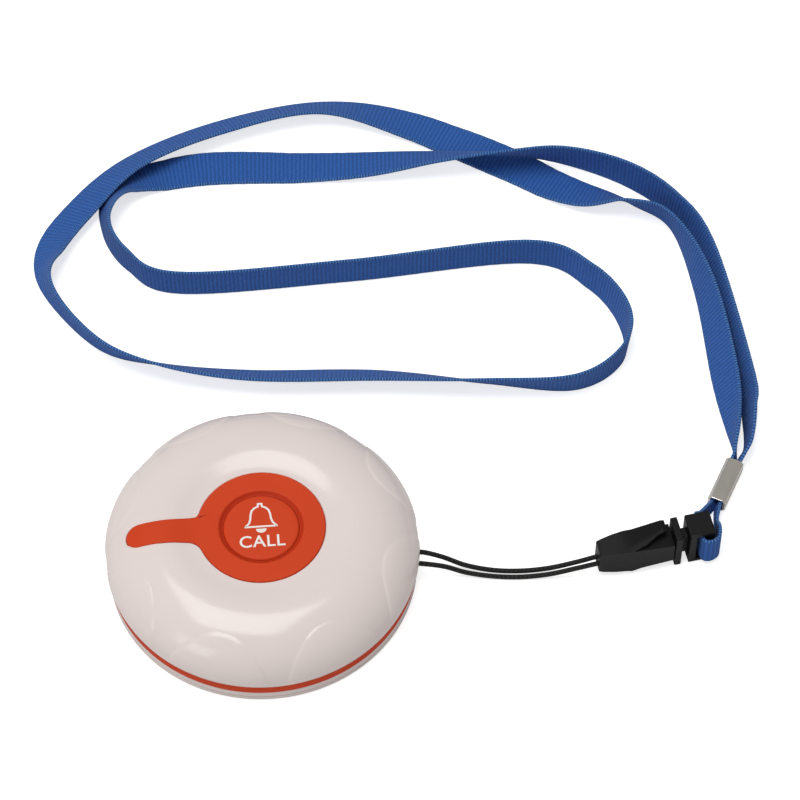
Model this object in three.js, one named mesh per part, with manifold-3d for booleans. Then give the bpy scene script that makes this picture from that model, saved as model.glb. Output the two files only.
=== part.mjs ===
// Wireless call button with a lanyard: a round housing, a press key on its top, a cord, a
// breakaway buckle, a crimp and a flat woven ribbon. Millimetres, +Z up, origin at the middle
// of the housing's underside.
import * as THREE from 'three';
import { mergeVertices } from 'three/addons/utils/BufferGeometryUtils.js';
import Module from 'manifold-3d';

const wasm = await Module();
wasm.setup();

// Clearances
const SEAT = 0.15; // between flat seated faces
const GAP = 0.3; // round cut or inserted pieces

// Housing outline
const FLANK_X = 15.6; // half-width of the flank's ellipse
const FLANK_Z = 11.7; // half-height of the flank's ellipse
const CREST_R = 24; // radius of the highest ring
const CREST_Z = 20; // height of the highest ring
const DISH_R = 16.2; // radius where the dish is flat
const DISH_DEPTH = 1.1; // the flat's depth below the crest
const SEAM_Z = 6.8; // underside of the upper shell
const LIP = 0.5; // rounding of the shell's lower edge
const WALL = 2; // shell wall at the skirt
const LOBES = 8; // raised grips round the flank
const LOBE_RISE = 0.4; // how far a grip stands out
const LOBE_HALF = 19; // half a grip's width in degrees
const LOBE_R = 32; // radius that a grip's arch reaches

// Base and seal ring
const FLOOR = 1.8; // base floor
const BASE_EDGE = 0.9; // rounding of the lower edge
const BASE_TOP = 3.8; // top of the base wall
const BASE_INSET = 0.1; // base wall inside the shell's lip radius
const GROOVE = 0.3; // shadow line round the base, width and depth
const GROOVE_Z = 1.75; // lower edge of that line
const UPSTAND_H = 4.7; // centring rim above the base wall
const UPSTAND_WALL = 1.8;

// Pad and key
const PAD_PROUD = 0.25; // pad above the shell
const PAD_THICK = 1.5;
const TONGUE_W = 6.5;
const TONGUE_R = 34; // how far the tongue reaches
const TONGUE_TURN = -2; // degrees that the tongue is turned from -X
const TONGUE_FILLET = 3.6;
const KEY_R = 9.6;
const KEY_GROOVE = 1.2; // ring groove round the key
const KEY_DEPTH = 0.8; // depth of that groove
const KEY_FLANGE = 1.3; // flange beyond the key's wall
const KEY_FLANGE_T = 1;
const KEY_STROKE = 0.5;
const KEY_WALL = 1.4;

// Electronics
const BOARD_R = 27.5;
const BOARD_Z = 8;
const BOARD_T = 1;
const TAB_W = 7;
const TAB_R = 33;
const POST_R = 2.6;
const POST_PCD_R = 23.5;
const POST_AZ = [25, 145, 265];
const BSCREW_R = 1;
const BSCREW_HEAD_R = 2;
const BSCREW_HEAD_T = 1.2;
const BSCREW_L = 5.5;
const HSCREW_R = 1.25;
const HSCREW_HEAD_R = 2.4;
const HSCREW_HEAD_T = 1.3;
const HSCREW_L = 7.4;
const HSCREW_PCD_R = 31.5;
const HSCREW_AZ = [45, 135, 225, 315];
const HBOSS_R = 3;
const HPAD_R = 4.2;
const HPAD_Z = 3;
const HSINK = 1.6;
const CELL_R = 10;
const CELL_T = 3.2;
const CELL_Z = 3.4;
const HOLDER_R = 12;
const HOLDER_PLATE = 0.8;
const CLIP_T = 0.3;
const CLIP_W = 5;
const CONTACT_R = 5;
const SWITCH_S = 6;
const SWITCH_H = 3.4;
const PLUNGER_R = 1.75;
const PLUNGER_H = 2.8;
const PLUNGER_UP = 1.5;
const STEM_R = 2.2;
const LED_R = 1.5;
const LED_H = 3;
const LED_AT = 31.2;
const PIPE_R = 1.2;
const CHIP_S = 5;
const CHIP_H = 1;
const COIL_R = 1.6;
const COIL_WIRE = 0.5;
const COIL_L = 9;

// Cord, lug and pin
const LUG_AZ = -8;
const LUG_HALF = 5; // half the lug's width in degrees
const LUG_DEPTH = 4.3;
const CORD_D = 1.3;
const CORD_HOLE_R = 0.95;
const CORD_HOLE_S = 3.4; // between the two holes
const CORD_Z = 5.3;
const PIN_R = 1.6;
const PIN_AT = 31.8;
const PIN_H = 5.5;
const PIN_BOSS_R = 2.9;
const PIN_BOSS_Z = 3.9;

// Buckle, standing on edge
const BUCKLE_X = 84.23;
const BUCKLE_Y = -11.2;
const BUCKLE_AZ = 6;
const BUCKLE_Z = 6.1; // height of its middle
const BUCKLE_D = 6.8; // depth of its body
const NOSE_D = 4.4;
const NOSE_H = 7.5;
const CORE_L = 19.3;
const CORE_H = 8.6; // body height at the arms' roots
const CORE_END_H = 6.8;
const ARM_ROOT = 8.5;
const ARM_END = 18;
const ARM_T = 1.25;
const ARM_SPREAD = 12.1; // over both arms' free ends
const ARM_END_D = 3.4;
const CORD_HOLES_S = 2;
const CORD_HOLES_L = 4;
const PLUG_L = 7.8;
const PLUG_H = 5;
const PLUG_D = 2.8;
const FLANGE_T = 1.8;
const FLANGE_H = 12.1;
const NECK_L = 1.9;
const NECK_H = 7;
const NECK_D = 3;
const BLOCK_L = 6.6;
const BLOCK_H = 12.1;
const WINDOW_L = 2.4;
const WINDOW_H = 10;
const BAR_L = 2.3;

// Crimp
const CRIMP_X = 117.4;
const CRIMP_Y = 2.8;
const CRIMP_AZ = 59.1;
const CRIMP_L = 13.4;
const CRIMP_W = 4.8;
const CRIMP_H = 4.7;
const CRIMP_T = 0.7;
const CRIMP_LIFT = 0.3;

// Ribbon
const RIBBON_W = 10.4;
const RIBBON_T = 0.8;
const STEPS = 80;
const SEG = 64;

const rad = (d) => d * Math.PI / 180;
const group = new THREE.Group();
const looks = {
  white: [0xe1d7d4, 0.15, 0],
  orange: [0xcc4a29, 0.5, 0],
  black: [0x151515, 0.45, 0],
  cord: [0x101010, 0.8, 0],
  ribbon: [0x3562aa, 0.85, 0],
  steel: [0xc8c4bc, 0.3, 1],
  brass: [0xc9a24e, 0.35, 1],
  board: [0x1d5b34, 0.5, 0],
  chip: [0x1b1b1e, 0.5, 0],
  clear: [0xe6eef2, 0.1, 0],
  copper: [0xb5672f, 0.35, 1],
};

function add(name, solid, look, parent = group) {
  const [color, roughness, metalness] = looks[look];
  const geometry = solid.isBufferGeometry ? solid : toGeometry(solid);
  const mesh = new THREE.Mesh(geometry, new THREE.MeshStandardMaterial({ color, roughness, metalness }));
  mesh.name = name;
  parent.add(mesh);
  return mesh;
}

function toSolid(source) {
  const bare = source.clone();
  bare.deleteAttribute('normal');
  bare.deleteAttribute('uv');
  const merged = mergeVertices(bare, 1e-4);
  const at = merged.attributes.position;
  const index = merged.index.array;
  const corner = (i) => new THREE.Vector3().fromBufferAttribute(at, i);
  const kept = [];
  let volume = 0;
  for (let i = 0; i < index.length; i += 3) {
    const [a, b, c] = [index[i], index[i + 1], index[i + 2]];
    if (a === b || b === c || a === c) continue;
    kept.push(a, b, c);
    volume += corner(a).dot(corner(b).cross(corner(c)));
  }
  if (volume < 0) {
    for (let i = 0; i < kept.length; i += 3) [kept[i], kept[i + 1]] = [kept[i + 1], kept[i]];
  }
  return new wasm.Manifold(new wasm.Mesh({
    numProp: 3,
    vertProperties: new Float32Array(at.array),
    triVerts: new Uint32Array(kept),
  }));
}

function toGeometry(solid) {
  const mesh = solid.getMesh();
  const geometry = new THREE.BufferGeometry();
  geometry.setAttribute('position', new THREE.BufferAttribute(new Float32Array(mesh.vertProperties), 3));
  geometry.setIndex(new THREE.BufferAttribute(new Uint32Array(mesh.triVerts), 1));
  return geometry;
}

function turn(points, segments = 40) {
  const profile = points.map(([r, z]) => new THREE.Vector2(r, z));
  return toSolid(new THREE.LatheGeometry(profile, segments).rotateX(Math.PI / 2));
}

function closed(points) {
  return [...points, points[0]];
}

function rod(r, z0, z1, x = 0, y = 0, segments = 16) {
  const g = new THREE.CylinderGeometry(r, r, z1 - z0, segments);
  return toSolid(g.rotateX(Math.PI / 2).translate(x, y, (z0 + z1) / 2));
}

function rodX(r, x0, x1, y, z, segments = 20) {
  const g = new THREE.CylinderGeometry(r, r, x1 - x0, segments);
  return toSolid(g.rotateZ(Math.PI / 2).translate((x0 + x1) / 2, y, z));
}

function block(x0, x1, y0, y1, z0, z1) {
  const g = new THREE.BoxGeometry(x1 - x0, y1 - y0, z1 - z0);
  return toSolid(g.translate((x0 + x1) / 2, (y0 + y1) / 2, (z0 + z1) / 2));
}

function prism(points, z0, z1) {
  const shape = new THREE.Shape(points.map(([x, y]) => new THREE.Vector2(x, y)));
  const g = new THREE.ExtrudeGeometry(shape, { depth: z1 - z0, bevelEnabled: false });
  return toSolid(g.translate(0, 0, z0));
}

// A side view in x and z, extruded over the depth y0 to y1
function slab(points, y0, y1) {
  const shape = new THREE.Shape(points.map(([x, z]) => new THREE.Vector2(x, z)));
  const g = new THREE.ExtrudeGeometry(shape, { depth: y1 - y0, bevelEnabled: false });
  return toSolid(g.rotateX(Math.PI / 2).translate(0, y1, 0));
}

function polar(r, az, z = 0) {
  return new THREE.Vector3(r * Math.cos(rad(az)), r * Math.sin(rad(az)), z);
}

// Upper surface of the housing at a radius
const FLANK_MID = CREST_Z - FLANK_Z;
const RIM_R = CREST_R + FLANK_X;
const DISH_Z = CREST_Z - DISH_DEPTH;
function surface(r) {
  if (r <= DISH_R) return DISH_Z;
  if (r <= CREST_R) {
    const s = (r - DISH_R) / (CREST_R - DISH_R);
    return DISH_Z + DISH_DEPTH * s * s * (3 - 2 * s);
  }
  const s = Math.min(1, (r - CREST_R) / FLANK_X);
  return FLANK_MID + FLANK_Z * Math.sqrt(1 - s * s);
}

// Upper shell
const lipR = RIM_R - LIP / 2;
const flankEnd = Math.acos((SEAM_Z + LIP - FLANK_MID) / FLANK_Z);
const lobeTop = Math.asin((LOBE_R - CREST_R) / FLANK_X);
const upstandR = lipR - LIP * 0.5 - WALL - GAP;
const skirtR = upstandR + GAP;
const webZ = surface(0) + PAD_PROUD - PAD_THICK - GAP;
const ceiling = webZ - 0.9;
const holeR = KEY_R + GAP;
const outer = [];
for (const r of [holeR, DISH_R, 19, 21.5, CREST_R]) outer.push([r, surface(r)]);
for (let i = 1; i <= 10; i += 1) {
  const t = flankEnd * i / 10;
  outer.push([CREST_R + FLANK_X * Math.sin(t), FLANK_MID + FLANK_Z * Math.cos(t)]);
}
outer.push([lipR + 0.05, SEAM_Z + LIP * 0.3]);
outer.push([lipR - LIP * 0.5, SEAM_Z]);
const inner = [
  [skirtR, SEAM_Z],
  [skirtR, SEAM_Z + 2.1],
  [skirtR - 0.7, SEAM_Z + 3.7],
  [skirtR - 3.1, SEAM_Z + 6.8],
  [30, 15.2],
  [CREST_R, ceiling],
  [holeR, ceiling],
];
const shellGeometry = new THREE.LatheGeometry(
  closed([...outer, ...inner]).map(([r, z]) => new THREE.Vector2(r, z)), SEG).rotateX(Math.PI / 2);
const at = shellGeometry.attributes.position;
for (let i = 0; i < at.count; i += 1) {
  const r = Math.hypot(at.getX(i), at.getY(i));
  const z = at.getZ(i);
  const s = (r - CREST_R) / FLANK_X;
  const c = (z - FLANK_MID) / FLANK_Z;
  if (s < 0.3 || Math.abs(s * s + c * c - 1) > 1e-4) continue;
  const v = (flankEnd - Math.atan2(s, c)) / (flankEnd - lobeTop);
  const pitch = 360 / LOBES;
  const az = Math.atan2(at.getY(i), at.getX(i)) * 180 / Math.PI + 360;
  const off = (az % pitch) - pitch / 2;
  const q = (off / LOBE_HALF) ** 2 + v * v;
  if (q >= 1) continue;
  const rise = LOBE_RISE * (1 - q) ** 0.4 * Math.min(1, v / 0.15);
  const n = Math.hypot(s / FLANK_X, c / FLANK_Z);
  const grow = 1 + rise * (s / FLANK_X / n) / r;
  at.setXYZ(i, at.getX(i) * grow, at.getY(i) * grow, z + rise * (c / FLANK_Z / n));
}

// Outline of the pad with its tongue; extra widens it all round
function padOutline(extra) {
  const R = DISH_R + extra;
  const half = TONGUE_W / 2 + extra;
  const f = TONGUE_FILLET - extra;
  const cx = Math.sqrt((R + f) ** 2 - (half + f) ** 2);
  const a0 = Math.atan2(half + f, cx);
  const points = [];
  const n = 40;
  for (let i = 0; i <= n; i += 1) {
    const a = -Math.PI + a0 + (2 * Math.PI - 2 * a0) * i / n;
    points.push([R * Math.cos(a), R * Math.sin(a)]);
  }
  for (let i = 1; i <= 6; i += 1) {
    const a = -a0 + (a0 - Math.PI / 2) * i / 6;
    points.push([-cx + f * Math.cos(a), half + f + f * Math.sin(a)]);
  }
  const end = TONGUE_R + extra - half;
  for (let i = 0; i <= 12; i += 1) {
    const a = Math.PI / 2 + Math.PI * i / 12;
    points.push([-end + half * Math.cos(a), half * Math.sin(a)]);
  }
  for (let i = 6; i >= 1; i -= 1) {
    const a = a0 - (a0 - Math.PI / 2) * i / 6;
    points.push([-cx + f * Math.cos(a), -half - f + f * Math.sin(a)]);
  }
  const [c, s] = [Math.cos(rad(TONGUE_TURN)), Math.sin(rad(TONGUE_TURN))];
  return points.map(([x, y]) => [x * c - y * s, x * s + y * c]);
}

function layer(low, high, segments = 48) {
  const radii = [0, DISH_R, 19, 21.5, CREST_R, 27, 29.5, 32, TONGUE_R, TONGUE_R + 1];
  const top = radii.map((r) => [r, surface(r) + high]);
  const bottom = radii.map((r) => [r, surface(r) + low]).reverse();
  return turn([...top, ...bottom], segments);
}

const recess = prism(padOutline(GAP), 10, 26).intersect(layer(PAD_PROUD - PAD_THICK - GAP, 5));
const bossZ = HPAD_Z + SEAT;
const bossTop = 16.3;
let upper = toSolid(shellGeometry);
for (const az of HSCREW_AZ) {
  const p = polar(HSCREW_PCD_R, az);
  upper = upper.add(rod(HBOSS_R, bossZ, bossTop, p.x, p.y));
}
const pipeR = PIPE_R + GAP;
upper = upper.add(rod(pipeR + 1.1, 13, bossTop, -LED_AT, 0));
upper = upper.subtract(recess).subtract(rod(pipeR, 12, 20, -LED_AT, 0));
for (const az of HSCREW_AZ) {
  const p = polar(HSCREW_PCD_R, az);
  upper = upper.subtract(rod(HSCREW_R + GAP, bossZ - 1, HSINK + HSCREW_L + GAP, p.x, p.y));
}
add('upper_shell', upper, 'white');

// Base
const baseR = lipR - LIP * 0.5 - BASE_INSET + 0.2;
const edge = [];
for (let i = 0; i <= 3; i += 1) {
  const a = Math.PI / 2 * i / 3;
  edge.push([baseR - BASE_EDGE + BASE_EDGE * Math.sin(a), BASE_EDGE - BASE_EDGE * Math.cos(a)]);
}
const upstandTop = BASE_TOP + UPSTAND_H;
let lower = turn([
  [0, 0], ...edge,
  [baseR, GROOVE_Z], [baseR - GROOVE, GROOVE_Z], [baseR - GROOVE, GROOVE_Z + GROOVE], [baseR, GROOVE_Z + GROOVE],
  [baseR, BASE_TOP], [upstandR, BASE_TOP], [upstandR, upstandTop],
  [upstandR - UPSTAND_WALL, upstandTop], [upstandR - UPSTAND_WALL, FLOOR], [0, FLOOR],
], SEG);
const pin = polar(PIN_AT, LUG_AZ);
const boardPosts = POST_AZ.map((az) => polar(POST_PCD_R, az));
const housingScrews = HSCREW_AZ.map((az) => polar(HSCREW_PCD_R, az));
for (const p of boardPosts) lower = lower.add(rod(POST_R, FLOOR - 0.5, BOARD_Z - SEAT, p.x, p.y));
for (const p of housingScrews) lower = lower.add(rod(HPAD_R - 0.8, FLOOR - 0.5, HPAD_Z, p.x, p.y));
lower = lower.add(rod(PIN_BOSS_R, FLOOR - 0.5, PIN_BOSS_Z, pin.x, pin.y));
const pilotZ = BOARD_Z + BOARD_T + SEAT - BSCREW_L - GAP;
for (const p of boardPosts) lower = lower.subtract(rod(BSCREW_R + SEAT, pilotZ, BOARD_Z + 1, p.x, p.y));
for (const p of housingScrews) {
  lower = lower.subtract(rod(HSCREW_HEAD_R + GAP, -1, HSINK, p.x, p.y));
  lower = lower.subtract(rod(HSCREW_R + GAP, -1, HPAD_Z + 1, p.x, p.y));
}
lower = lower.subtract(rod(PIN_R + GAP, FLOOR, PIN_BOSS_Z + 1, pin.x, pin.y));
const lugNotch = sector(upstandR - UPSTAND_WALL - 2, RIM_R, LUG_HALF + 0.7, BASE_TOP, SEAM_Z + 0.1);
lower = lower.subtract(lugNotch);
add('lower_shell', lower, 'white');

function sector(r0, r1, half, z0, z1) {
  const points = [];
  for (let i = 0; i <= 6; i += 1) {
    const p = polar(r1, LUG_AZ - half + half * i / 3);
    points.push([p.x, p.y]);
  }
  for (let i = 6; i >= 0; i -= 1) {
    const p = polar(r0, LUG_AZ - half + half * i / 3);
    points.push([p.x, p.y]);
  }
  return prism(points, z0, z1);
}

// Seal ring, open at the cord's lug
const ringR = lipR - LIP * 0.5 - 0.05;
const ring = turn(closed([
  [upstandR + GAP, BASE_TOP + SEAT], [ringR, BASE_TOP + SEAT], [ringR, SEAM_Z - SEAT], [upstandR + GAP, SEAM_Z - SEAT],
]), SEG).subtract(sector(upstandR - 2, RIM_R + 1, LUG_HALF + 0.6, 0, SEAM_Z + 1));
add('seal_ring', ring, 'orange');

// Lug with its two cord holes
function lugRod(r, side) {
  const g = new THREE.CylinderGeometry(r, r, 12, 20).rotateZ(Math.PI / 2);
  g.translate(RIM_R - 3, side * CORD_HOLE_S / 2, CORD_Z).rotateZ(rad(LUG_AZ));
  return toSolid(g);
}
const lug = sector(ringR - LUG_DEPTH, ringR, LUG_HALF, BASE_TOP + GAP, SEAM_Z - GAP)
  .subtract(lugRod(CORD_HOLE_R, 1)).subtract(lugRod(CORD_HOLE_R, -1));
add('cord_lug', lug, 'white');
add('cord_pin', rod(PIN_R, FLOOR + SEAT, FLOOR + SEAT + PIN_H, pin.x, pin.y), 'steel');

// Pad, with a thin lip as the floor of the key's groove
const pad = prism(padOutline(0), 10, 26).intersect(layer(PAD_PROUD - PAD_THICK, PAD_PROUD))
  .subtract(rod(KEY_R + KEY_GROOVE, DISH_Z + PAD_PROUD - KEY_DEPTH, 30, 0, 0, 40))
  .subtract(rod(holeR, 0, 30, 0, 0, 40));
add('pad', pad, 'orange');

// Key
const flangeTop = ceiling - SEAT;
const flangeZ = flangeTop - KEY_FLANGE_T;
const keyTop = DISH_Z - 0.1;
const switchTop = BOARD_Z + BOARD_T + 0.1 + SWITCH_H;
const plungerTop = switchTop + PLUNGER_UP;
const key = turn([
  [0, keyTop], [KEY_R - 0.35, keyTop], [KEY_R, keyTop - 0.35], [KEY_R, flangeTop],
  [KEY_R + KEY_FLANGE, flangeTop], [KEY_R + KEY_FLANGE, flangeZ], [KEY_R - KEY_WALL, flangeZ],
  [KEY_R - KEY_WALL, keyTop - KEY_WALL], [STEM_R, keyTop - KEY_WALL], [STEM_R, plungerTop + SEAT],
  [0, plungerTop + SEAT],
], 40);
add('call_key', key, 'orange');

// Board
const boardTop = BOARD_Z + BOARD_T;
let board = rod(BOARD_R, BOARD_Z, boardTop, 0, 0, 40)
  .add(block(-TAB_R, -BOARD_R + 2, -TAB_W / 2, TAB_W / 2, BOARD_Z, boardTop));
for (const p of boardPosts) board = board.subtract(rod(BSCREW_R + 0.4, BOARD_Z - 1, boardTop + 1, p.x, p.y));
add('circuit_board', board, 'board');
boardPosts.forEach((p, i) => {
  const head = rod(BSCREW_HEAD_R, boardTop + SEAT, boardTop + SEAT + BSCREW_HEAD_T, p.x, p.y, 20);
  const slot = block(p.x - 3, p.x + 3, p.y - 0.25, p.y + 0.25, boardTop + SEAT + BSCREW_HEAD_T - 0.5, boardTop + 4);
  const shank = rod(BSCREW_R, boardTop + SEAT - BSCREW_L, boardTop + SEAT + 0.2, p.x, p.y, 16);
  add(`board_screw_${i + 1}`, head.subtract(slot).add(shank), 'steel');
});
housingScrews.forEach((p, i) => {
  const head = rod(HSCREW_HEAD_R, HSINK - HSCREW_HEAD_T - 0.1, HSINK - 0.1, p.x, p.y, 20);
  const slot = block(p.x - 3, p.x + 3, p.y - 0.3, p.y + 0.3, -1, HSINK - HSCREW_HEAD_T + 0.4);
  const shank = rod(HSCREW_R, HSINK - 0.3, HSINK + HSCREW_L, p.x, p.y, 16);
  add(`housing_screw_${i + 1}`, head.subtract(slot).add(shank), 'steel');
});

// Coin cell between its holder, the clip below and the contact above
const cellTop = CELL_Z + CELL_T;
const plateZ = BOARD_Z - 0.1 - HOLDER_PLATE;
const clipOut = CELL_R + GAP;
const holderIn = CELL_R + 0.4;
add('coin_cell', turn([
  [0, CELL_Z], [CELL_R - 0.4, CELL_Z], [CELL_R, CELL_Z + 0.4], [CELL_R, cellTop - 0.5],
  [CELL_R - 1.2, cellTop - 0.5], [CELL_R - 1.2, cellTop], [0, cellTop],
], 32), 'steel');
const clipZ = CELL_Z - GAP - CLIP_T;
const legIn = HOLDER_R + GAP;
const legOut = legIn + CLIP_T;
const holder = turn(closed([
  [holderIn, CELL_Z - 0.1], [HOLDER_R, CELL_Z - 0.1], [HOLDER_R, plateZ + HOLDER_PLATE], [CONTACT_R - 3, plateZ + HOLDER_PLATE],
  [CONTACT_R - 3, plateZ], [holderIn, plateZ],
]), 32);
add('cell_holder', holder, 'black');
const clip = block(-legOut, legOut, -CLIP_W / 2, CLIP_W / 2, clipZ, clipZ + CLIP_T)
  .add(block(-legOut, -legIn, -CLIP_W / 2, CLIP_W / 2, clipZ, BOARD_Z - SEAT))
  .add(block(legIn, legOut, -CLIP_W / 2, CLIP_W / 2, clipZ, BOARD_Z - SEAT));
add('cell_clip', clip, 'steel');
const contact = rod(CONTACT_R, cellTop + 0.1, cellTop + 0.1 + CLIP_T, 0, 0, 32)
  .add(rod(0.6, cellTop + 0.2, BOARD_Z - 0.1, 0, 0, 12));
add('cell_contact', contact, 'brass');

// Switch under the key's stem
const s2 = SWITCH_S / 2;
add('switch_body', block(-s2, s2, -s2, s2, boardTop + 0.1, switchTop)
  .subtract(rod(PLUNGER_R + GAP, plungerTop - PLUNGER_H - KEY_STROKE - GAP, switchTop + 1, 0, 0)), 'black');
add('switch_plunger', rod(PLUNGER_R, plungerTop - PLUNGER_H, plungerTop), 'white');

// Status light and its pipe under the tongue
const ledTop = boardTop + 0.1 + LED_H;
const ledDome = toSolid(new THREE.SphereGeometry(LED_R, 20, 10).translate(-LED_AT, 0, ledTop - LED_R));
add('status_led', rod(LED_R, boardTop + 0.1, ledTop - LED_R, -LED_AT, 0, 20).add(ledDome), 'clear');
const pipeTop = surface(LED_AT + PIPE_R) + PAD_PROUD - PAD_THICK - GAP;
add('light_pipe', rod(PIPE_R, ledTop + GAP, pipeTop, -LED_AT, 0, 20), 'clear');

// Radio
add('radio_chip', block(13 - CHIP_S / 2, 13 + CHIP_S / 2, 8 - CHIP_S / 2, 8 + CHIP_S / 2,
  boardTop + 0.1, boardTop + 0.1 + CHIP_H), 'chip');
add('crystal', block(11.4, 14.6, -3.2, -0.8, boardTop + 0.1, boardTop + 1), 'steel');
add('capacitor', rod(2, boardTop + 0.1, boardTop + 4.1, 10, -10, 20), 'black');
class Helix extends THREE.Curve {
  getPoint(t) {
    const a = t * 5 * 2 * Math.PI;
    return new THREE.Vector3(-COIL_L / 2 + COIL_L * t, 19 + COIL_R * Math.cos(a),
      boardTop + 0.1 + COIL_R + COIL_WIRE / 2 + COIL_R * Math.sin(a));
  }
}
function section(width, thick, corner) {
  const [a, b] = [width / 2, thick / 2];
  return new THREE.Shape([
    [-a + corner, -b], [a - corner, -b], [a, -b + corner], [a, b - corner],
    [a - corner, b], [-a + corner, b], [-a, b - corner], [-a, -b + corner],
  ].map(([x, y]) => new THREE.Vector2(x, y)));
}
add('antenna_coil', toSolid(new THREE.ExtrudeGeometry(section(COIL_WIRE, COIL_WIRE, COIL_WIRE * 0.29),
  { steps: 44, bevelEnabled: false, extrudePath: new Helix() })), 'copper');

// Buckle halves
const buckle = new THREE.Group();
buckle.position.set(BUCKLE_X, BUCKLE_Y, 0);
buckle.rotation.z = rad(BUCKLE_AZ);
group.add(buckle);
const mid = BUCKLE_Z;
const halfD = BUCKLE_D / 2;
const spread = ARM_SPREAD / 2;
const bodyPlan = prism([
  [0, -NOSE_D / 2], [ARM_ROOT * 0.5, -NOSE_D / 2 - 0.8], [ARM_ROOT, -halfD], [CORE_L, -halfD],
  [CORE_L, halfD], [ARM_ROOT, halfD], [ARM_ROOT * 0.5, NOSE_D / 2 + 0.8], [0, NOSE_D / 2],
], 0, 2 * mid);
const profileUp = [
  [0, NOSE_H / 2], [1, NOSE_H / 2 + 0.4], [ARM_ROOT - 1.5, CORE_H / 2 + 0.3],
  [ARM_ROOT, CORE_H / 2 + 0.1], [ARM_END - 5, CORE_H / 2 - 0.35], [CORE_L, CORE_END_H / 2],
];
const core = slab([
  ...profileUp.map(([x, h]) => [x, mid + h]),
  ...[...profileUp].reverse().map(([x, h]) => [x, mid - h]),
], -halfD, halfD).intersect(bodyPlan);
const armPlan = prism([
  [ARM_ROOT - 4, -halfD + 0.6], [ARM_ROOT, -halfD], [ARM_ROOT + 3.5, -halfD * 0.75],
  [ARM_ROOT + 7, halfD - ARM_END_D - 0.6], [ARM_END, halfD - ARM_END_D], [ARM_END, halfD], [ARM_ROOT - 4, halfD - 0.6],
], 0, 2 * mid);
const arm = [
  [ARM_ROOT - 3, CORE_H / 2 - 1], [ARM_ROOT - 3, CORE_H / 2 + 0.15], [ARM_ROOT + 2, CORE_H / 2 + 0.9],
  [ARM_END - 1, spread], [ARM_END, spread - 0.4], [ARM_END, spread - ARM_T],
  [ARM_END - 4, spread - ARM_T - 0.15], [ARM_ROOT + 1.2, CORE_H / 2 - 0.1],
];
const upArm = slab(arm.map(([x, h]) => [x, mid + h]), -halfD, halfD).intersect(armPlan);
const downArm = slab(arm.map(([x, h]) => [x, mid - h]), -halfD, halfD).intersect(armPlan);
const socketH = PLUG_H / 2 + GAP;
const socketD = PLUG_D / 2 + GAP;
const socket = block(CORE_L - PLUG_L - 2 * GAP, CORE_L + 1, -socketD, socketD, mid - socketH, mid + socketH);
const cordHoleZ = 4.4;
let cordHalf = core.add(upArm).add(downArm).subtract(socket);
for (const side of [-1, 1]) {
  cordHalf = cordHalf.subtract(rodX(0.85, -1, CORD_HOLES_L, side * CORD_HOLES_S / 2, cordHoleZ));
}
add('buckle_cord_half', cordHalf, 'black', buckle);
const flangeX = CORE_L + GAP;
const neckX = flangeX + FLANGE_T;
const blockX = neckX + NECK_L;
const windowX = blockX + BLOCK_L - BAR_L - WINDOW_L;
const barX = windowX + WINDOW_L;
const ribbonHalf = block(flangeX - PLUG_L, flangeX + 0.5, -PLUG_D / 2, PLUG_D / 2, mid - PLUG_H / 2, mid + PLUG_H / 2)
  .add(block(flangeX, neckX, -halfD - 0.1, halfD + 0.1, mid - FLANGE_H / 2, mid + FLANGE_H / 2))
  .add(block(neckX - 0.2, blockX + 0.2, -NECK_D / 2, NECK_D / 2, mid - NECK_H / 2, mid + NECK_H / 2))
  .add(block(blockX, blockX + BLOCK_L, -halfD, halfD, mid - BLOCK_H / 2, mid + BLOCK_H / 2))
  .subtract(block(windowX, barX, -halfD - 1, halfD + 1, mid - WINDOW_H / 2, mid + WINDOW_H / 2));
add('buckle_ribbon_half', ribbonHalf, 'black', buckle);

// Crimp sleeve
const crimp = new THREE.Group();
crimp.position.set(CRIMP_X, CRIMP_Y, CRIMP_LIFT);
crimp.rotation.z = rad(CRIMP_AZ);
group.add(crimp);
const sleeveShape = section(CRIMP_W, CRIMP_H, 0.9);
const sleeve = toSolid(new THREE.ExtrudeGeometry(sleeveShape, { depth: CRIMP_L, bevelEnabled: false })
  .rotateY(Math.PI / 2).rotateX(Math.PI / 2).translate(0, 0, CRIMP_H / 2));
const sleeveBore = block(-1, CRIMP_L + 1, -CRIMP_W / 2 + CRIMP_T, CRIMP_W / 2 - CRIMP_T, CRIMP_T, CRIMP_H - CRIMP_T);
add('crimp', sleeve.subtract(sleeveBore), 'steel', crimp);

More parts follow.
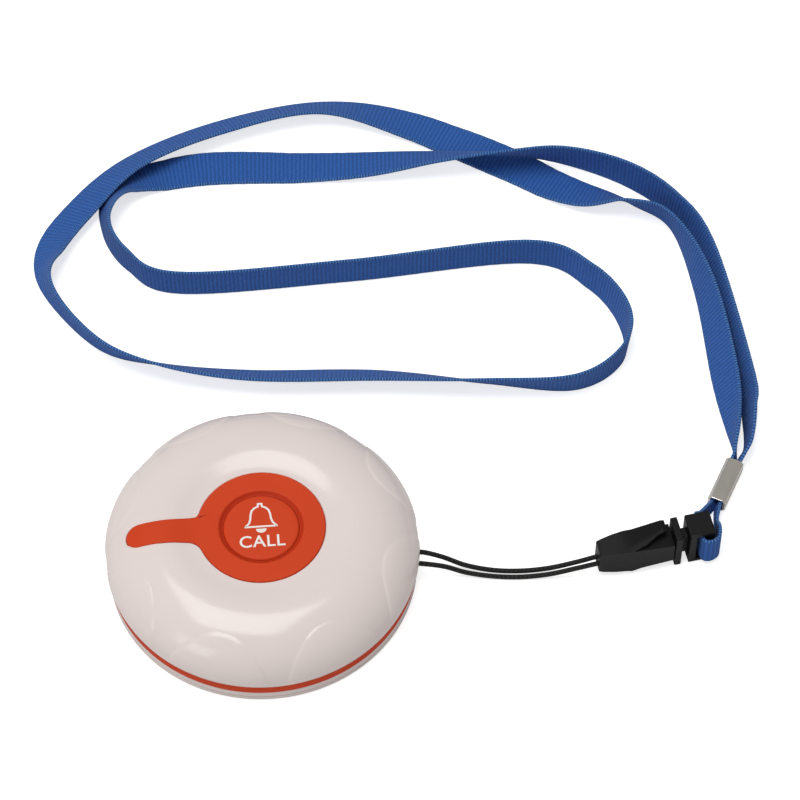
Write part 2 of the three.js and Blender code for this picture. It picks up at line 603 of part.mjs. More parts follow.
// Flat ribbon on a route of rows: x, y, lean, lift, share of the full width
class RibbonRoute extends THREE.Curve {
  constructor(rows) {
    super();
    this.rows = rows;
    this.arcLengthDivisions = 1200;
  }
  row(t) {
    const n = this.rows.length - 1;
    const k = Math.min(n - 1, Math.floor(t * n));
    const s = t * n - k;
    const at4 = (i) => {
      if (i < 0) return this.rows[0].map((v, j) => 2 * v - this.rows[1][j]);
      if (i > n) return this.rows[n].map((v, j) => 2 * v - this.rows[n - 1][j]);
      return this.rows[i];
    };
    const [p0, p1, p2, p3] = [at4(k - 1), at4(k), at4(k + 1), at4(k + 2)];
    return p1.map((v, j) => {
      const t1 = (p2[j] - p0[j]) / 2;
      const t2 = (p3[j] - v) / 2;
      return (2 * s ** 3 - 3 * s ** 2 + 1) * v + (s ** 3 - 2 * s ** 2 + s) * t1
        + (3 * s ** 2 - 2 * s ** 3) * p2[j] + (s ** 3 - s ** 2) * t2;
    });
  }
  getPoint(t) {
    const [x, y, lean, lift, share] = this.row(t);
    const rise = RIBBON_W * share / 2 * Math.abs(Math.sin(rad(lean))) + RIBBON_T / 2 * Math.abs(Math.cos(rad(lean)));
    return new THREE.Vector3(x, y, rise + lift + 0.1);
  }
  computeFrenetFrames(segments) {
    const [tangents, normals, binormals] = [[], [], []];
    for (let i = 0; i <= segments; i += 1) {
      const u = this.getUtoTmapping(i / segments);
      const [, , lean, , share] = this.row(u);
      const along = this.getTangent(u);
      along.z = 0;
      along.normalize();
      const left = new THREE.Vector3(-along.y, along.x, 0);
      const wide = left.multiplyScalar(Math.cos(rad(lean)));
      wide.z = Math.sin(rad(lean));
      tangents.push(along);
      normals.push(wide.clone().multiplyScalar(share));
      binormals.push(new THREE.Vector3().crossVectors(along, wide).normalize());
    }
    return { tangents, normals, binormals };
  }
}
function band(rows, steps) {
  return new THREE.ExtrudeGeometry(section(RIBBON_W, RIBBON_T, 0.2),
    { steps, bevelEnabled: false, extrudePath: new RibbonRoute(rows) });
}
const crimpMid = CRIMP_LIFT + CRIMP_H / 2;
const NARROW = 0.25;
const narrowLift = crimpMid - RIBBON_W * NARROW / 2 - 0.1;
function inCrimp(x, y) {
  const a = rad(CRIMP_AZ);
  return [CRIMP_X + x * Math.cos(a) - y * Math.sin(a), CRIMP_Y + x * Math.sin(a) + y * Math.cos(a)];
}
const layerY = RIBBON_T / 2 + SEAT;
const RIBBON_ROWS = [
  [...inCrimp(CRIMP_L + GAP, -layerY), 90, narrowLift, NARROW],
  [...inCrimp(CRIMP_L + 3, -layerY - 0.4), 93, narrowLift * 0.8, NARROW + 0.1],
  [...inCrimp(CRIMP_L + 7, -layerY - 0.6), 98, narrowLift * 0.4, NARROW + 0.35],
  [130.4, 27.4, 104, 0, 1], [131.1, 38.6, 112, 0, 1], [127.9, 80.2, 112, 0, 1],
  [121.8, 97.7, 98, 0, 1], [111, 109.4, 93, 0, 1], [95.6, 117.1, 80, 0.6, 1], [79.6, 119.5, 57, 2.2, 1],
  [61.1, 121.6, 38, 1.5, 1], [36.5, 124.4, 9, 0, 1], [-4.5, 128.3, -4, 1.2, 1], [-25.1, 124.4, 26, 1.5, 1],
  [-31.3, 110.4, 76, 1.1, 1], [-26.8, 97.3, 91, 0.3, 1], [-13.4, 87.7, 93, 0, 1], [32.2, 86.2, 93, 0, 1],
  [80.2, 86.6, 90, 0, 1], [96.2, 76.2, 84, 0, 1], [103, 62.2, 80, 0, 1], [100.3, 50.4, 86, 0, 1],
  [86.7, 43.1, 78, 0, 1], [63.3, 46.6, 60, 0, 1], [34.9, 52.5, 43, 0, 1], [2.3, 56.5, 43, 0, 1],
  [-20.9, 62.4, 56, 0, 1], [-36.6, 70.9, 76, 0, 1], [-47, 89.2, 95, 0, 1], [-45.6, 103.4, 146, 0, 1],
  [-36.6, 114.9, 172, 0, 1], [-22.1, 128.3, 178, 0, 1], [2.2, 140.4, 147, 0, 1], [30.4, 143.9, 145, 0, 1],
  [55.4, 136, 173, 0, 1], [79, 120.5, 186, 0, 1], [97.3, 107, 168, 0, 1], [110.4, 100.3, 122, 0, 1],
  [120.3, 92.1, 100, 0, 1], [125.6, 70.2, 68, 0, 1], [126.3, 41, 55, 0, 1],
  [125.9, 26, 66, 0.4, 0.75],
  [...inCrimp(CRIMP_L + 3, layerY + 0.4), 86, narrowLift * 0.8, NARROW + 0.1],
  [...inCrimp(CRIMP_L + GAP, layerY), 90, narrowLift, NARROW],
];
add('ribbon', toSolid(band(RIBBON_ROWS, STEPS)), 'ribbon');

// Short ribbon from the crimp through the buckle's window and round its bar
function inBuckle(x, y) {
  const a = rad(BUCKLE_AZ);
  return [BUCKLE_X + x * Math.cos(a) - y * Math.sin(a), BUCKLE_Y + x * Math.sin(a) + y * Math.cos(a)];
}
const LOOP_SHARE = (WINDOW_H - 2 * GAP) / RIBBON_W;
const loopLift = mid - RIBBON_W * LOOP_SHARE / 2 - 0.1;
const winMid = windowX + WINDOW_L / 2;
const blockEnd = blockX + BLOCK_L;
const NECKED = (LOOP_SHARE + NARROW) / 2;
const neckedLift = (loopLift + narrowLift) / 2;
const loopRows = [
  [...inCrimp(1.5, layerY), 90, narrowLift, NARROW],
  [...inCrimp(-1, layerY), 90, narrowLift, NARROW],
  [...inBuckle(blockEnd - 0.8, halfD + 3.2), 90, neckedLift, NECKED],
  [...inBuckle(winMid + 0.2, halfD + 1), 90, loopLift, LOOP_SHARE],
  [...inBuckle(winMid, 1.5), 90, loopLift, LOOP_SHARE],
  [...inBuckle(winMid, -1.5), 90, loopLift, LOOP_SHARE],
  [...inBuckle(winMid + 0.4, -halfD - 0.8), 90, loopLift, LOOP_SHARE],
  [...inBuckle(barX + BAR_L / 2, -halfD - 1.3), 90, loopLift, LOOP_SHARE],
  [...inBuckle(blockEnd + 1, -halfD - 0.2), 90, loopLift, LOOP_SHARE],
  [...inBuckle(blockEnd + 1.9, -0.6), 90, loopLift, LOOP_SHARE],
  [...inBuckle(blockEnd + 2.6, 3.6), 90, neckedLift, NECKED],
  [...inCrimp(-1, -layerY), 90, narrowLift, NARROW],
  [...inCrimp(1.5, -layerY), 90, narrowLift, NARROW],
];
add('ribbon_loop', toSolid(band(loopRows, 40)), 'ribbon');

// Cord: buckle, lug, round the pin and back
function atLug(r, side, z) {
  return polar(1, LUG_AZ).multiplyScalar(r).add(polar(side, LUG_AZ + 90)).setZ(z);
}
const loopR = PIN_R + GAP + CORD_D / 2 + 0.05;
const hs = CORD_HOLE_S / 2;
const ns = CORD_HOLES_S / 2;
const at3 = (x, y, z) => new THREE.Vector3(x, y, z);
const inNose = (x, y) => at3(...inBuckle(x, y), cordHoleZ);
const cordPath = new THREE.CatmullRomCurve3([
  inNose(CORD_HOLES_L - 0.4, ns), inNose(0.2, ns), at3(79, -10.5, 3.3), at3(72, -10.4, 1.6), at3(65, -9.9, 0.85),
  at3(58, -8.8, 0.8), at3(51, -6.9, 1.6), at3(45.5, -5, 3.5), atLug(41, hs, CORD_Z - 0.2), atLug(ringR, hs, CORD_Z), atLug(35.2, hs, CORD_Z),
  atLug(34, 2.2, CORD_Z), atLug(PIN_AT, loopR, CORD_Z), atLug(PIN_AT - loopR * 0.71, loopR * 0.71, CORD_Z),
  atLug(PIN_AT - loopR, 0, CORD_Z), atLug(PIN_AT - loopR * 0.71, -loopR * 0.71, CORD_Z),
  atLug(PIN_AT, -loopR, CORD_Z), atLug(34, -2.2, CORD_Z), atLug(35.2, -hs, CORD_Z), atLug(ringR, -hs, CORD_Z),
  atLug(41, -hs, CORD_Z - 0.2), at3(45.5, -7.9, 3.6), at3(51, -9.2, 1.7), at3(58, -10.7, 0.85),
  at3(65, -11.7, 0.8), at3(72, -12.2, 1.6), at3(79, -12.3, 3.3),
  inNose(0.2, -ns), inNose(CORD_HOLES_L - 0.4, -ns),
], false, 'centripetal');
cordPath.arcLengthDivisions = 800;
add('cord', toSolid(new THREE.ExtrudeGeometry(section(CORD_D, CORD_D, CORD_D * 0.29),
  { steps: 64, bevelEnabled: false, extrudePath: cordPath })), 'cord');

export default group;
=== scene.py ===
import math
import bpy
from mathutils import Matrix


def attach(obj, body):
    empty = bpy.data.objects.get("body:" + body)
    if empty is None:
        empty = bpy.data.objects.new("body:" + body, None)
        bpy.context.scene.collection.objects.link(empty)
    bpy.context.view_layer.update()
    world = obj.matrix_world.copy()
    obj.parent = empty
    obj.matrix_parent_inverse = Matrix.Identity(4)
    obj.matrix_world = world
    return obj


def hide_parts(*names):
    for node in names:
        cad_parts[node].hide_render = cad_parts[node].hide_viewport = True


bl_info = {
    "name": "Wireless call button",
    "version": (1, 0, 0),
    "blender": (4, 5, 0),
    "location": "View3D > Sidebar > Call Button",
    "description": "Dresses a round call button with its cord, buckle, crimp and woven neck ribbon",
    "category": "Object",
}

import bmesh
import bpy
from mathutils import Matrix, Vector

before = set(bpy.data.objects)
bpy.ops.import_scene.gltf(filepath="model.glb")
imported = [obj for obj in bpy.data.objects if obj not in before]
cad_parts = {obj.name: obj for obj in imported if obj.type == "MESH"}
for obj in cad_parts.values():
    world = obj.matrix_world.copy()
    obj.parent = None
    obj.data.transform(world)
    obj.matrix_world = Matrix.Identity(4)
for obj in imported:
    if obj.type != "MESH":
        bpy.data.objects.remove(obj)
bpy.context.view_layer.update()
MM = 0.001


# Sizes and colours


class HousingSizes(bpy.types.PropertyGroup):
    """The round housing, in millimetres"""

    crest_radius: bpy.props.FloatProperty(
        name="Crest radius", description="Radius of the highest ring", default=24.0
    )
    crest_height: bpy.props.FloatProperty(
        name="Crest height", description="Height of the highest ring", default=20.0
    )
    flank_width: bpy.props.FloatProperty(
        name="Flank width", description="Half-width of the flank", default=15.6
    )
    flank_height: bpy.props.FloatProperty(
        name="Flank height", description="Half-height of the flank", default=11.7
    )
    dish_radius: bpy.props.FloatProperty(
        name="Dish radius", description="Radius of the flat round the key", default=16.2
    )
    dish_depth: bpy.props.FloatProperty(
        name="Dish depth", description="Depth of the flat below the crest", default=1.1
    )
    seam_height: bpy.props.FloatProperty(
        name="Seam height", description="Underside of the upper shell", default=6.8
    )
    lobe_rise: bpy.props.FloatProperty(
        name="Grip rise", description="How far each grip stands out", default=0.45
    )
    lobe_half: bpy.props.FloatProperty(
        name="Grip half-width", description="Half a grip's width in degrees", default=19.0
    )
    tongue_width: bpy.props.FloatProperty(
        name="Tongue width", description="Width of the pad's tongue", default=6.5
    )
    tongue_reach: bpy.props.FloatProperty(
        name="Tongue reach", description="Radius at the tongue's tip", default=34.0
    )
    key_radius: bpy.props.FloatProperty(name="Key radius", description="Radius of the press key", default=9.6)
    groove_width: bpy.props.FloatProperty(
        name="Groove width", description="Ring groove round the key", default=1.2
    )
    tongue_turn: bpy.props.FloatProperty(
        name="Tongue turn", description="Degrees that the tongue is turned", default=-2.0
    )


class RibbonSizes(bpy.types.PropertyGroup):
    """The cord and the ribbon, in millimetres"""

    width: bpy.props.FloatProperty(name="Ribbon width", description="Width of the woven ribbon", default=10.4)
    thickness: bpy.props.FloatProperty(
        name="Ribbon thickness", description="Thickness of the ribbon", default=0.8
    )
    rib: bpy.props.FloatProperty(
        name="Rib pitch", description="Distance between two cross ribs", default=1.12
    )
    cord: bpy.props.FloatProperty(name="Cord diameter", description="Diameter of the black cord", default=1.3)


class Colours(bpy.types.PropertyGroup):
    """Finishes that show"""

    shell: bpy.props.FloatVectorProperty(
        name="Shell", description="Gloss plastic of the shells", subtype="COLOR", size=3,
        default=(0.775, 0.69, 0.665),
    )
    orange: bpy.props.FloatVectorProperty(
        name="Orange", description="Soft moulding and key", subtype="COLOR", size=3,
        default=(0.63, 0.055, 0.012),
    )
    ribbon: bpy.props.FloatVectorProperty(
        name="Ribbon", description="Yarn of the ribbon", subtype="COLOR", size=3, default=(0.031, 0.115, 0.40)
    )
    black: bpy.props.FloatVectorProperty(
        name="Black", description="Buckle and cord", subtype="COLOR", size=3, default=(0.006, 0.0055, 0.0055)
    )


def sizes():
    return bpy.context.scene.call_button_housing


def soft():
    return bpy.context.scene.call_button_ribbon


def colours():
    return bpy.context.scene.call_button_colours


# Materials


class Wire:
    """A shader socket that takes part in arithmetic"""

    def __init__(self, tree, socket):
        self.tree = tree
        self.socket = socket

    def math(self, operation, *values):
        made = node(self.tree, "ShaderNodeMath", {"operation": operation}, dict(enumerate((self, *values))))
        return Wire(self.tree, made.outputs[0])

    def __add__(self, other):
        return self.math("ADD", other)

    def __sub__(self, other):
        return self.math("SUBTRACT", other)

    def __mul__(self, other):
        return self.math("MULTIPLY", other)

    def __rsub__(self, other):
        return self * -1.0 + other

    __radd__ = __add__
    __rmul__ = __mul__

    def sine(self):
        return self.math("SINE")

    def size(self):
        return self.math("ABSOLUTE")

    def band(self, low, high):
        """Rises smoothly from 0 at low to 1 at high"""
        ends = {"Value": self, "From Min": low, "From Max": high}
        made = node(self.tree, "ShaderNodeMapRange", {"interpolation_type": "SMOOTHSTEP"}, ends)
        return Wire(self.tree, made.outputs["Result"])


def feed(tree, slot, value):
    if isinstance(value, Wire):
        tree.links.new(value.socket, slot)
    elif isinstance(value, (tuple, list)) and len(value) == 3 and len(slot.default_value) == 4:
        slot.default_value = (*value, 1)
    else:
        slot.default_value = value


def node(tree, kind, settings, sockets):
    """Adds a node, first its settings and then the values or links of its sockets"""
    made = tree.nodes.new(kind)
    for name, value in settings.items():
        setattr(made, name, value)
    for name, value in sockets.items():
        feed(tree, made.inputs[name], value)
    return made


class Finish:
    """A node material built up from wires"""

    def __init__(self, name, **numbers):
        self.material = bpy.data.materials.new(name)
        self.material.use_nodes = True
        self.tree = self.material.node_tree
        self.shader = self.tree.nodes["Principled BSDF"]
        for socket, value in numbers.items():
            feed(self.tree, self.shader.inputs[socket.replace("_", " ")], value)

    def add(self, kind, output=0, settings=None, **sockets):
        made = node(self.tree, kind, settings or {}, sockets)
        return Wire(self.tree, made.outputs[output])

    def place(self):
        return self.add("ShaderNodeTexCoord", "Object")

    def split(self, vector):
        made = node(self.tree, "ShaderNodeSeparateXYZ", {}, {"Vector": vector})
        return [Wire(self.tree, made.outputs[i]) for i in range(3)]

    def weave(self):
        """Metres along and across the piece"""
        return self.split(self.add("ShaderNodeUVMap", "UV", {"uv_map": "weave"}))

    def noise(self, scale, detail=3.0, vector=None):
        return self.add("ShaderNodeTexNoise", Scale=scale, Detail=detail, Vector=vector or self.place())

    def mix(self, first, second, share):
        """Mixes two colours; a colour's sockets on this node have no names of their own"""
        made = node(self.tree, "ShaderNodeMix", {"data_type": "RGBA"}, {0: share, 6: first, 7: second})
        return Wire(self.tree, made.outputs[2])

    def colour(self, value):
        feed(self.tree, self.shader.inputs["Base Color"], value)
        return self

    def rough(self, value):
        feed(self.tree, self.shader.inputs["Roughness"], value)
        return self

    def bump(self, height, distance, strength=1.0):
        made = self.add("ShaderNodeBump", "Normal", Strength=strength, Distance=distance, Height=height)
        feed(self.tree, self.shader.inputs["Normal"], made)
        return self


def shade(colour, factor):
    return tuple(c * factor for c in colour)


def shell_finish(name="gloss_white"):
    white = tuple(colours().shell)
    f = Finish(name, Specular_IOR_Level=0.3)
    cloud = f.noise(60.0, 2.0)
    grain = f.noise(2600.0, 2.0)
    f.colour(f.mix(shade(white, 0.985), shade(white, 1.01), cloud))
    f.rough(cloud * 0.03 + 0.14)
    f.bump(grain, 0.00001, 0.15)
    return f.material


# groove=True paints shade into the ring groove round the key
def orange_finish(name, roughness, tone=1.0, groove=False):
    orange = shade(tuple(colours().orange), tone)
    f = Finish(name, Specular_IOR_Level=0.15)
    grain = f.noise(1700.0, 3.0)
    cloud = f.noise(90.0, 2.0)
    low = f.mix(shade(orange, 0.93), shade(orange, 1.05), cloud)
    body = f.mix(low, shade(orange, 1.1), grain.band(0.62, 0.75) * 0.25)
    # Painted shade: inside the ring groove round the key the orange is painted darker, for the shade that
    # falls in the groove
    if groove:
        x, y, _ = f.split(f.place())
        r = (x * x + y * y).math("SQRT")
        outer = (sizes().key_radius + sizes().groove_width + 0.15) * MM
        inside = 1.0 - r.band(outer - 0.0005, outer)
        body = f.mix(body, (orange[0] * 0.72, orange[1] * 0.5, orange[2] * 0.45), inside * 0.8)
    f.colour(body)
    f.rough(grain * 0.12 + roughness)
    f.bump(grain, 0.00003, 0.35)
    return f.material


def black_finish(name="satin_black"):
    black = tuple(colours().black)
    f = Finish(name, Specular_IOR_Level=0.18)
    grain = f.noise(1400.0, 3.0)
    wear = f.noise(220.0, 4.0).band(0.55, 0.8)
    f.colour(f.mix(black, shade(black, 2.2), wear * 0.6))
    f.rough(grain * 0.14 + 0.34)
    f.bump(grain, 0.00002, 0.3)
    return f.material


def ribbon_finish(name="woven_ribbon"):
    blue = tuple(colours().ribbon)
    f = Finish(name, Specular_IOR_Level=0.15, Sheen_Weight=0.08, Sheen_Roughness=0.4)
    along, across, _ = f.weave()
    pitch = soft().rib * MM
    half = soft().width * MM / 2
    turn = 2 * math.pi
    rib = (along * (turn / pitch)).sine() * 0.5 + 0.5
    yarn = (across * (turn / 0.00052)).sine() * 0.5 + 0.5
    brick = (along * (turn / 2 / pitch)).sine() * (across * (turn / 0.00062)).sine() * 0.5 + 0.5
    edge = across.size()
    rim = edge.band(half - 0.00075, half - 0.00045)
    stitch = rim * (along * (turn / 0.00078)).sine().band(-0.1, 0.6)
    fuzz = f.noise(1100.0, 4.0)
    cloud = f.noise(34.0, 2.0)
    body = f.mix(shade(blue, 0.3), shade(blue, 1.6), rib * 0.35 + brick * 0.45 + fuzz * 0.2)
    body = f.mix(body, f.mix(shade(blue, 0.88), shade(blue, 1.12), cloud), 0.25)
    body = f.mix(body, shade(blue, 0.55), rim * 0.6)
    f.colour(f.mix(body, (0.12, 0.29, 0.60), stitch * 0.7))
    f.rough(0.8)
    height = rib * 0.55 + brick * 0.5 + yarn * 0.1 + fuzz * 0.2 + stitch * 0.4
    f.bump(height, 0.00024, 1.0)
    return f.material


def cord_finish(name="braided_cord"):
    black = tuple(colours().black)
    f = Finish(name, Specular_IOR_Level=0.3, Sheen_Weight=0.25, Sheen_Roughness=0.4)
    along, across, _ = f.weave()
    turn = 2 * math.pi
    left = ((along * (turn / 0.0011)) + (across * (turn / 0.0013))).sine()
    right = ((along * (turn / 0.0011)) - (across * (turn / 0.0013))).sine()
    braid = left.math("MAXIMUM", right)
    f.colour(f.mix(shade(black, 0.6), shade(black, 2.0), braid.band(-0.2, 1.0)))
    f.rough(braid * -0.1 + 0.7)
    f.bump(braid, 0.00008, 0.8)
    return f.material


def metal_finish(name, colour, roughness, grain=0.35):
    f = Finish(name, Metallic=1.0)
    drawn = f.add("ShaderNodeMapping", Vector=f.place(), Scale=(1.0, 1.0, 9.0))
    lines = f.noise(900.0, 3.0, drawn)
    spots = f.noise(160.0, 3.0)
    f.colour(f.mix(shade(colour, 0.88), shade(colour, 1.06), spots))
    f.rough(lines * 0.16 + roughness)
    f.bump(lines, 0.00001, grain)
    return f.material


def board_finish(name="board_green"):
    f = Finish(name, Specular_IOR_Level=0.5, Coat_Weight=0.4, Coat_Roughness=0.2)
    x, y, _ = f.split(f.place())
    track = (x * 900.0 + (y * 260.0).sine() * 2.0).sine().band(0.55, 0.7) * (y * 420.0).sine().band(-0.2, 0.1)
    f.colour(f.mix((0.012, 0.10, 0.035), (0.05, 0.26, 0.09), track * 0.8 + f.noise(300.0) * 0.2))
    f.rough(0.42)
    f.bump(track, 0.00003, 0.5)
    return f.material


def clear_finish(name="clear_moulding"):
    f = Finish(name, Transmission_Weight=0.9, IOR=1.49)
    f.colour((0.93, 0.96, 0.97))
    f.rough(f.noise(300.0) * 0.1 + 0.04)
    return f.material


def print_finish(name="white_print"):
    f = Finish(name, Specular_IOR_Level=0.4)
    f.colour(f.mix((0.80, 0.78, 0.75), (0.88, 0.86, 0.83), f.noise(700.0)))
    f.rough(0.45)
    f.bump(f.noise(2200.0), 0.00001, 0.3)
    return f.material


# Mesh helpers


def finished(bm, name, material, body, replaced=(), smooth=40.0, recalc=True):
    """Turns a bmesh into a riding piece with smooth faces and sharp edges over the given angle"""
    if recalc:
        bmesh.ops.recalc_face_normals(bm, faces=bm.faces)
    for face in bm.faces:
        face.smooth = True
    limit = math.radians(smooth)
    for edge in bm.edges:
        if len(edge.link_faces) == 2 and edge.calc_face_angle(0.0) > limit:
            edge.smooth = False
    mesh = bpy.data.meshes.new(name)
    bm.to_mesh(mesh)
    bm.free()
    mesh.materials.append(material)
    piece = bpy.data.objects.new(name, mesh)
    bpy.context.scene.collection.objects.link(piece)
    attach(piece, body)
    if replaced:
        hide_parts(*replaced)
    return piece


def spun(points, steps, angle=360.0, start=0.0):
    """Spins a profile of radius and height in millimetres round the upright axis"""
    bm = bmesh.new()
    verts = [bm.verts.new((r * MM, 0, z * MM)) for r, z in points]
    edges = [bm.edges.new(pair) for pair in zip(verts, verts[1:])]
    if points[0][0] > 0 and points[-1][0] > 0:
        edges.append(bm.edges.new((verts[-1], verts[0])))
    whole = angle >= 360.0
    bmesh.ops.spin(
        bm, geom=verts + edges, cent=(0, 0, 0), axis=(0, 0, 1), angle=math.radians(angle), steps=steps,
        use_merge=whole,
    )
    bmesh.ops.remove_doubles(bm, verts=bm.verts, dist=1e-7)
    if not whole:
        bmesh.ops.holes_fill(bm, edges=[e for e in bm.edges if e.is_boundary], sides=0)
    bmesh.ops.rotate(bm, verts=bm.verts, cent=(0, 0, 0), matrix=Matrix.Rotation(math.radians(start), 3, "Z"))
    bmesh.ops.recalc_face_normals(bm, faces=bm.faces)
    return bm


def rounded(points, radius, segments=3):
    """Rounds the corners of an open profile of radius and height"""
    out = [points[0]]
    for before, here, after in zip(points, points[1:], points[2:]):
        a, b, c = Vector(before), Vector(here), Vector(after)
        u, v = (a - b), (c - b)
        reach = min(radius, u.length * 0.45, v.length * 0.45)
        if reach < 1e-4 or u.angle(v) > 3.0:
            out.append(here)
            continue
        p, q = b + u.normalized() * reach, b + v.normalized() * reach
        for i in range(segments + 1):
            t = i / segments
            out.append(tuple(p * (1 - t) ** 2 + b * 2 * t * (1 - t) + q * t * t))
    out.append(points[-1])
    return out


def cut(piece, tools):
    """Cuts the tools out of a piece and bakes the result into its mesh"""
    for tool in tools:
        mod = piece.modifiers.new("cut", "BOOLEAN")
        mod.operation = "DIFFERENCE"
        mod.solver = "EXACT"
        mod.object = tool
    bpy.context.view_layer.update()
    graph = bpy.context.evaluated_depsgraph_get()
    mesh = bpy.data.meshes.new_from_object(piece.evaluated_get(graph))
    piece.modifiers.clear()
    piece.data = mesh
    for tool in tools:
        bpy.data.objects.remove(tool)
    return piece


def cutter(kind, **sizes_of):
    bm = bmesh.new()
    getattr(bmesh.ops, kind)(bm, **sizes_of)
    mesh = bpy.data.meshes.new("cutter")
    bm.to_mesh(mesh)
    bm.free()
    tool = bpy.data.objects.new("cutter", mesh)
    bpy.context.scene.collection.objects.link(tool)
    return tool


def rod(radius, low, high, x=0.0, y=0.0, turn=None, segments=40):
    """A cutting rod in millimetres, upright or turned by a matrix"""
    place = Matrix.Translation((x * MM, y * MM, (low + high) / 2 * MM))
    if turn is not None:
        place = turn @ place
    return cutter(
        "create_cone", cap_ends=True, segments=segments, radius1=radius * MM, radius2=radius * MM,
        depth=(high - low) * MM, matrix=place,
    )


def softened(piece, width, segments=3, angle=30.0):
    """Rounds the piece's edges with a live bevel"""
    mod = piece.modifiers.new("edges", "BEVEL")
    mod.width = width * MM
    mod.segments = segments
    mod.limit_method = "ANGLE"
    mod.angle_limit = math.radians(angle)
    mod.harden_normals = False
    return piece


def copy_of(node, name, material, width, body, angle=30.0, segments=3):
    """A merged copy of a frame node with rounded edges, shown in the node's place"""
    bm = bmesh.new()
    bm.from_mesh(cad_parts[node].data)
    bmesh.ops.remove_doubles(bm, verts=bm.verts, dist=2e-6)
    bmesh.ops.dissolve_limit(bm, angle_limit=math.radians(1.5), verts=bm.verts, edges=bm.edges)
    piece = finished(bm, name, material, body, (node,), 35.0, recalc=False)
    return softened(piece, width, segments, angle)


def dress(names, material):
    for name in names:
        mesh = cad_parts[name].data
        mesh.materials.clear()
        mesh.materials.append(material)


def next_ring(bm, ring, place):
    """Extrudes a closed ring of vertices and puts each new one where place(index) says"""
    inside = set(ring)
    edges = [e for v in ring for e in v.link_edges if e.other_vert(v) in inside and e.verts[0] is v]
    made = bmesh.ops.extrude_edge_only(bm, edges=edges)["geom"]
    new = {v for v in made if isinstance(v, bmesh.types.BMVert)}
    out = []
    for index, old in enumerate(ring):
        fresh = next(e.other_vert(old) for e in old.link_edges if e.other_vert(old) in new)
        fresh.co = place(index)
        out.append(fresh)
    return out


# Shape of the housing


BASE_R = 39.2
BASE_EDGE = 0.9
RING_R = 39.32
SKIRT_R = 37.1
SCREW_AT = 31.5
WELL_R = 2.7
WELL_DEPTH = 1.6
LUG_AZ = -8
LUG_GAP = 5.6


def surface(r):
    """Height of the housing's upper surface at a radius, in millimetres"""
    s = sizes()
    flat = s.crest_height - s.dish_depth
    if r <= s.dish_radius:
        return flat
    if r <= s.crest_radius:
        t = (r - s.dish_radius) / (s.crest_radius - s.dish_radius)
        return flat + s.dish_depth * t * t * (3 - 2 * t)
    t = min(1.0, (r - s.crest_radius) / s.flank_width)
    return s.crest_height - s.flank_height + s.flank_height * math.sqrt(1 - t * t)


def with_grip(x, y, z, turn):
    """A point of the flank at the ellipse's angle turn, moved out where a grip stands"""
    s = sizes()
    middle = s.crest_height - s.flank_height
    last = math.acos((s.seam_height + 0.5 - middle) / s.flank_height)
    first = math.asin((32.0 - s.crest_radius) / s.flank_width)
    v = (last - turn) / (last - first)
    off = (math.degrees(math.atan2(y, x)) + 360.0) % 45.0 - 22.5
    q = (off / s.lobe_half) ** 2 + v * v
    if q >= 1 or v <= 0:
        return Vector((x * MM, y * MM, z * MM))
    rise = s.lobe_rise * (1 - q) ** 0.3 * min(1.0, v / 0.15)
    n = Vector((math.sin(turn) / s.flank_width, math.cos(turn) / s.flank_height)).normalized()
    r = math.hypot(x, y)
    grow = 1 + rise * n.x / r
    return Vector((x * grow * MM, y * grow * MM, (z + rise * n.y) * MM))


def pad_outline(extra, count=920):
    """Evenly spaced points round the pad and its tongue"""
    s = sizes()
    big = s.dish_radius + extra
    half = s.tongue_width / 2 + extra
    fillet = 3.6 - extra
    cx = math.sqrt((big + fillet) ** 2 - (half + fillet) ** 2)
    a0 = math.atan2(half + fillet, cx)
    pts = []
    for i in range(241):
        a = -math.pi + a0 + (2 * math.pi - 2 * a0) * i / 240
        pts.append((big * math.cos(a), big * math.sin(a)))
    for i in range(1, 25):
        a = -a0 + (a0 - math.pi / 2) * i / 24
        pts.append((-cx + fillet * math.cos(a), half + fillet + fillet * math.sin(a)))
    end = s.tongue_reach + extra - half
    side = [(-cx - (end - cx) * i / 20, half) for i in range(1, 20)]
    bends = [math.pi / 2 + math.pi * i / 40 for i in range(41)]
    tip = [(-end + half * math.cos(a), half * math.sin(a)) for a in bends]
    pts += side + tip
    pts += [(x, -y) for x, y in reversed(side)]
    pts += [(x, -y) for x, y in reversed(pts[241:265])]
    total = [0.0]
    for a, b in zip(pts, pts[1:] + pts[:1]):
        total.append(total[-1] + math.dist(a, b))
    out = []
    k = 0
    for i in range(count):
        goal = total[-1] * i / count
        while total[k + 1] < goal:
            k += 1
        t = (goal - total[k]) / max(1e-9, total[k + 1] - total[k])
        a, b = pts[k], pts[(k + 1) % len(pts)]
        out.append((a[0] + (b[0] - a[0]) * t, a[1] + (b[1] - a[1]) * t))
    c, d = math.cos(math.radians(s.tongue_turn)), math.sin(math.radians(s.tongue_turn))
    return [(x * c - y * d, x * d + y * c) for x, y in out]


def rim_angles(points):
    """A steady spread of angles for lines that leave the outline for the rim"""
    share = [0.0]
    for a, b in zip(points, points[1:] + points[:1]):
        mid = ((a[0] + b[0]) / 2, (a[1] + b[1]) / 2)
        weight = 0.35 if math.hypot(*mid) > sizes().dish_radius + 2 else 1.0
        share.append(share[-1] + math.dist(a, b) * weight)
    start = math.atan2(points[0][1], points[0][0])
    low = share[:-1]
    return [start + 2 * math.pi * v / share[-1] for v in low]


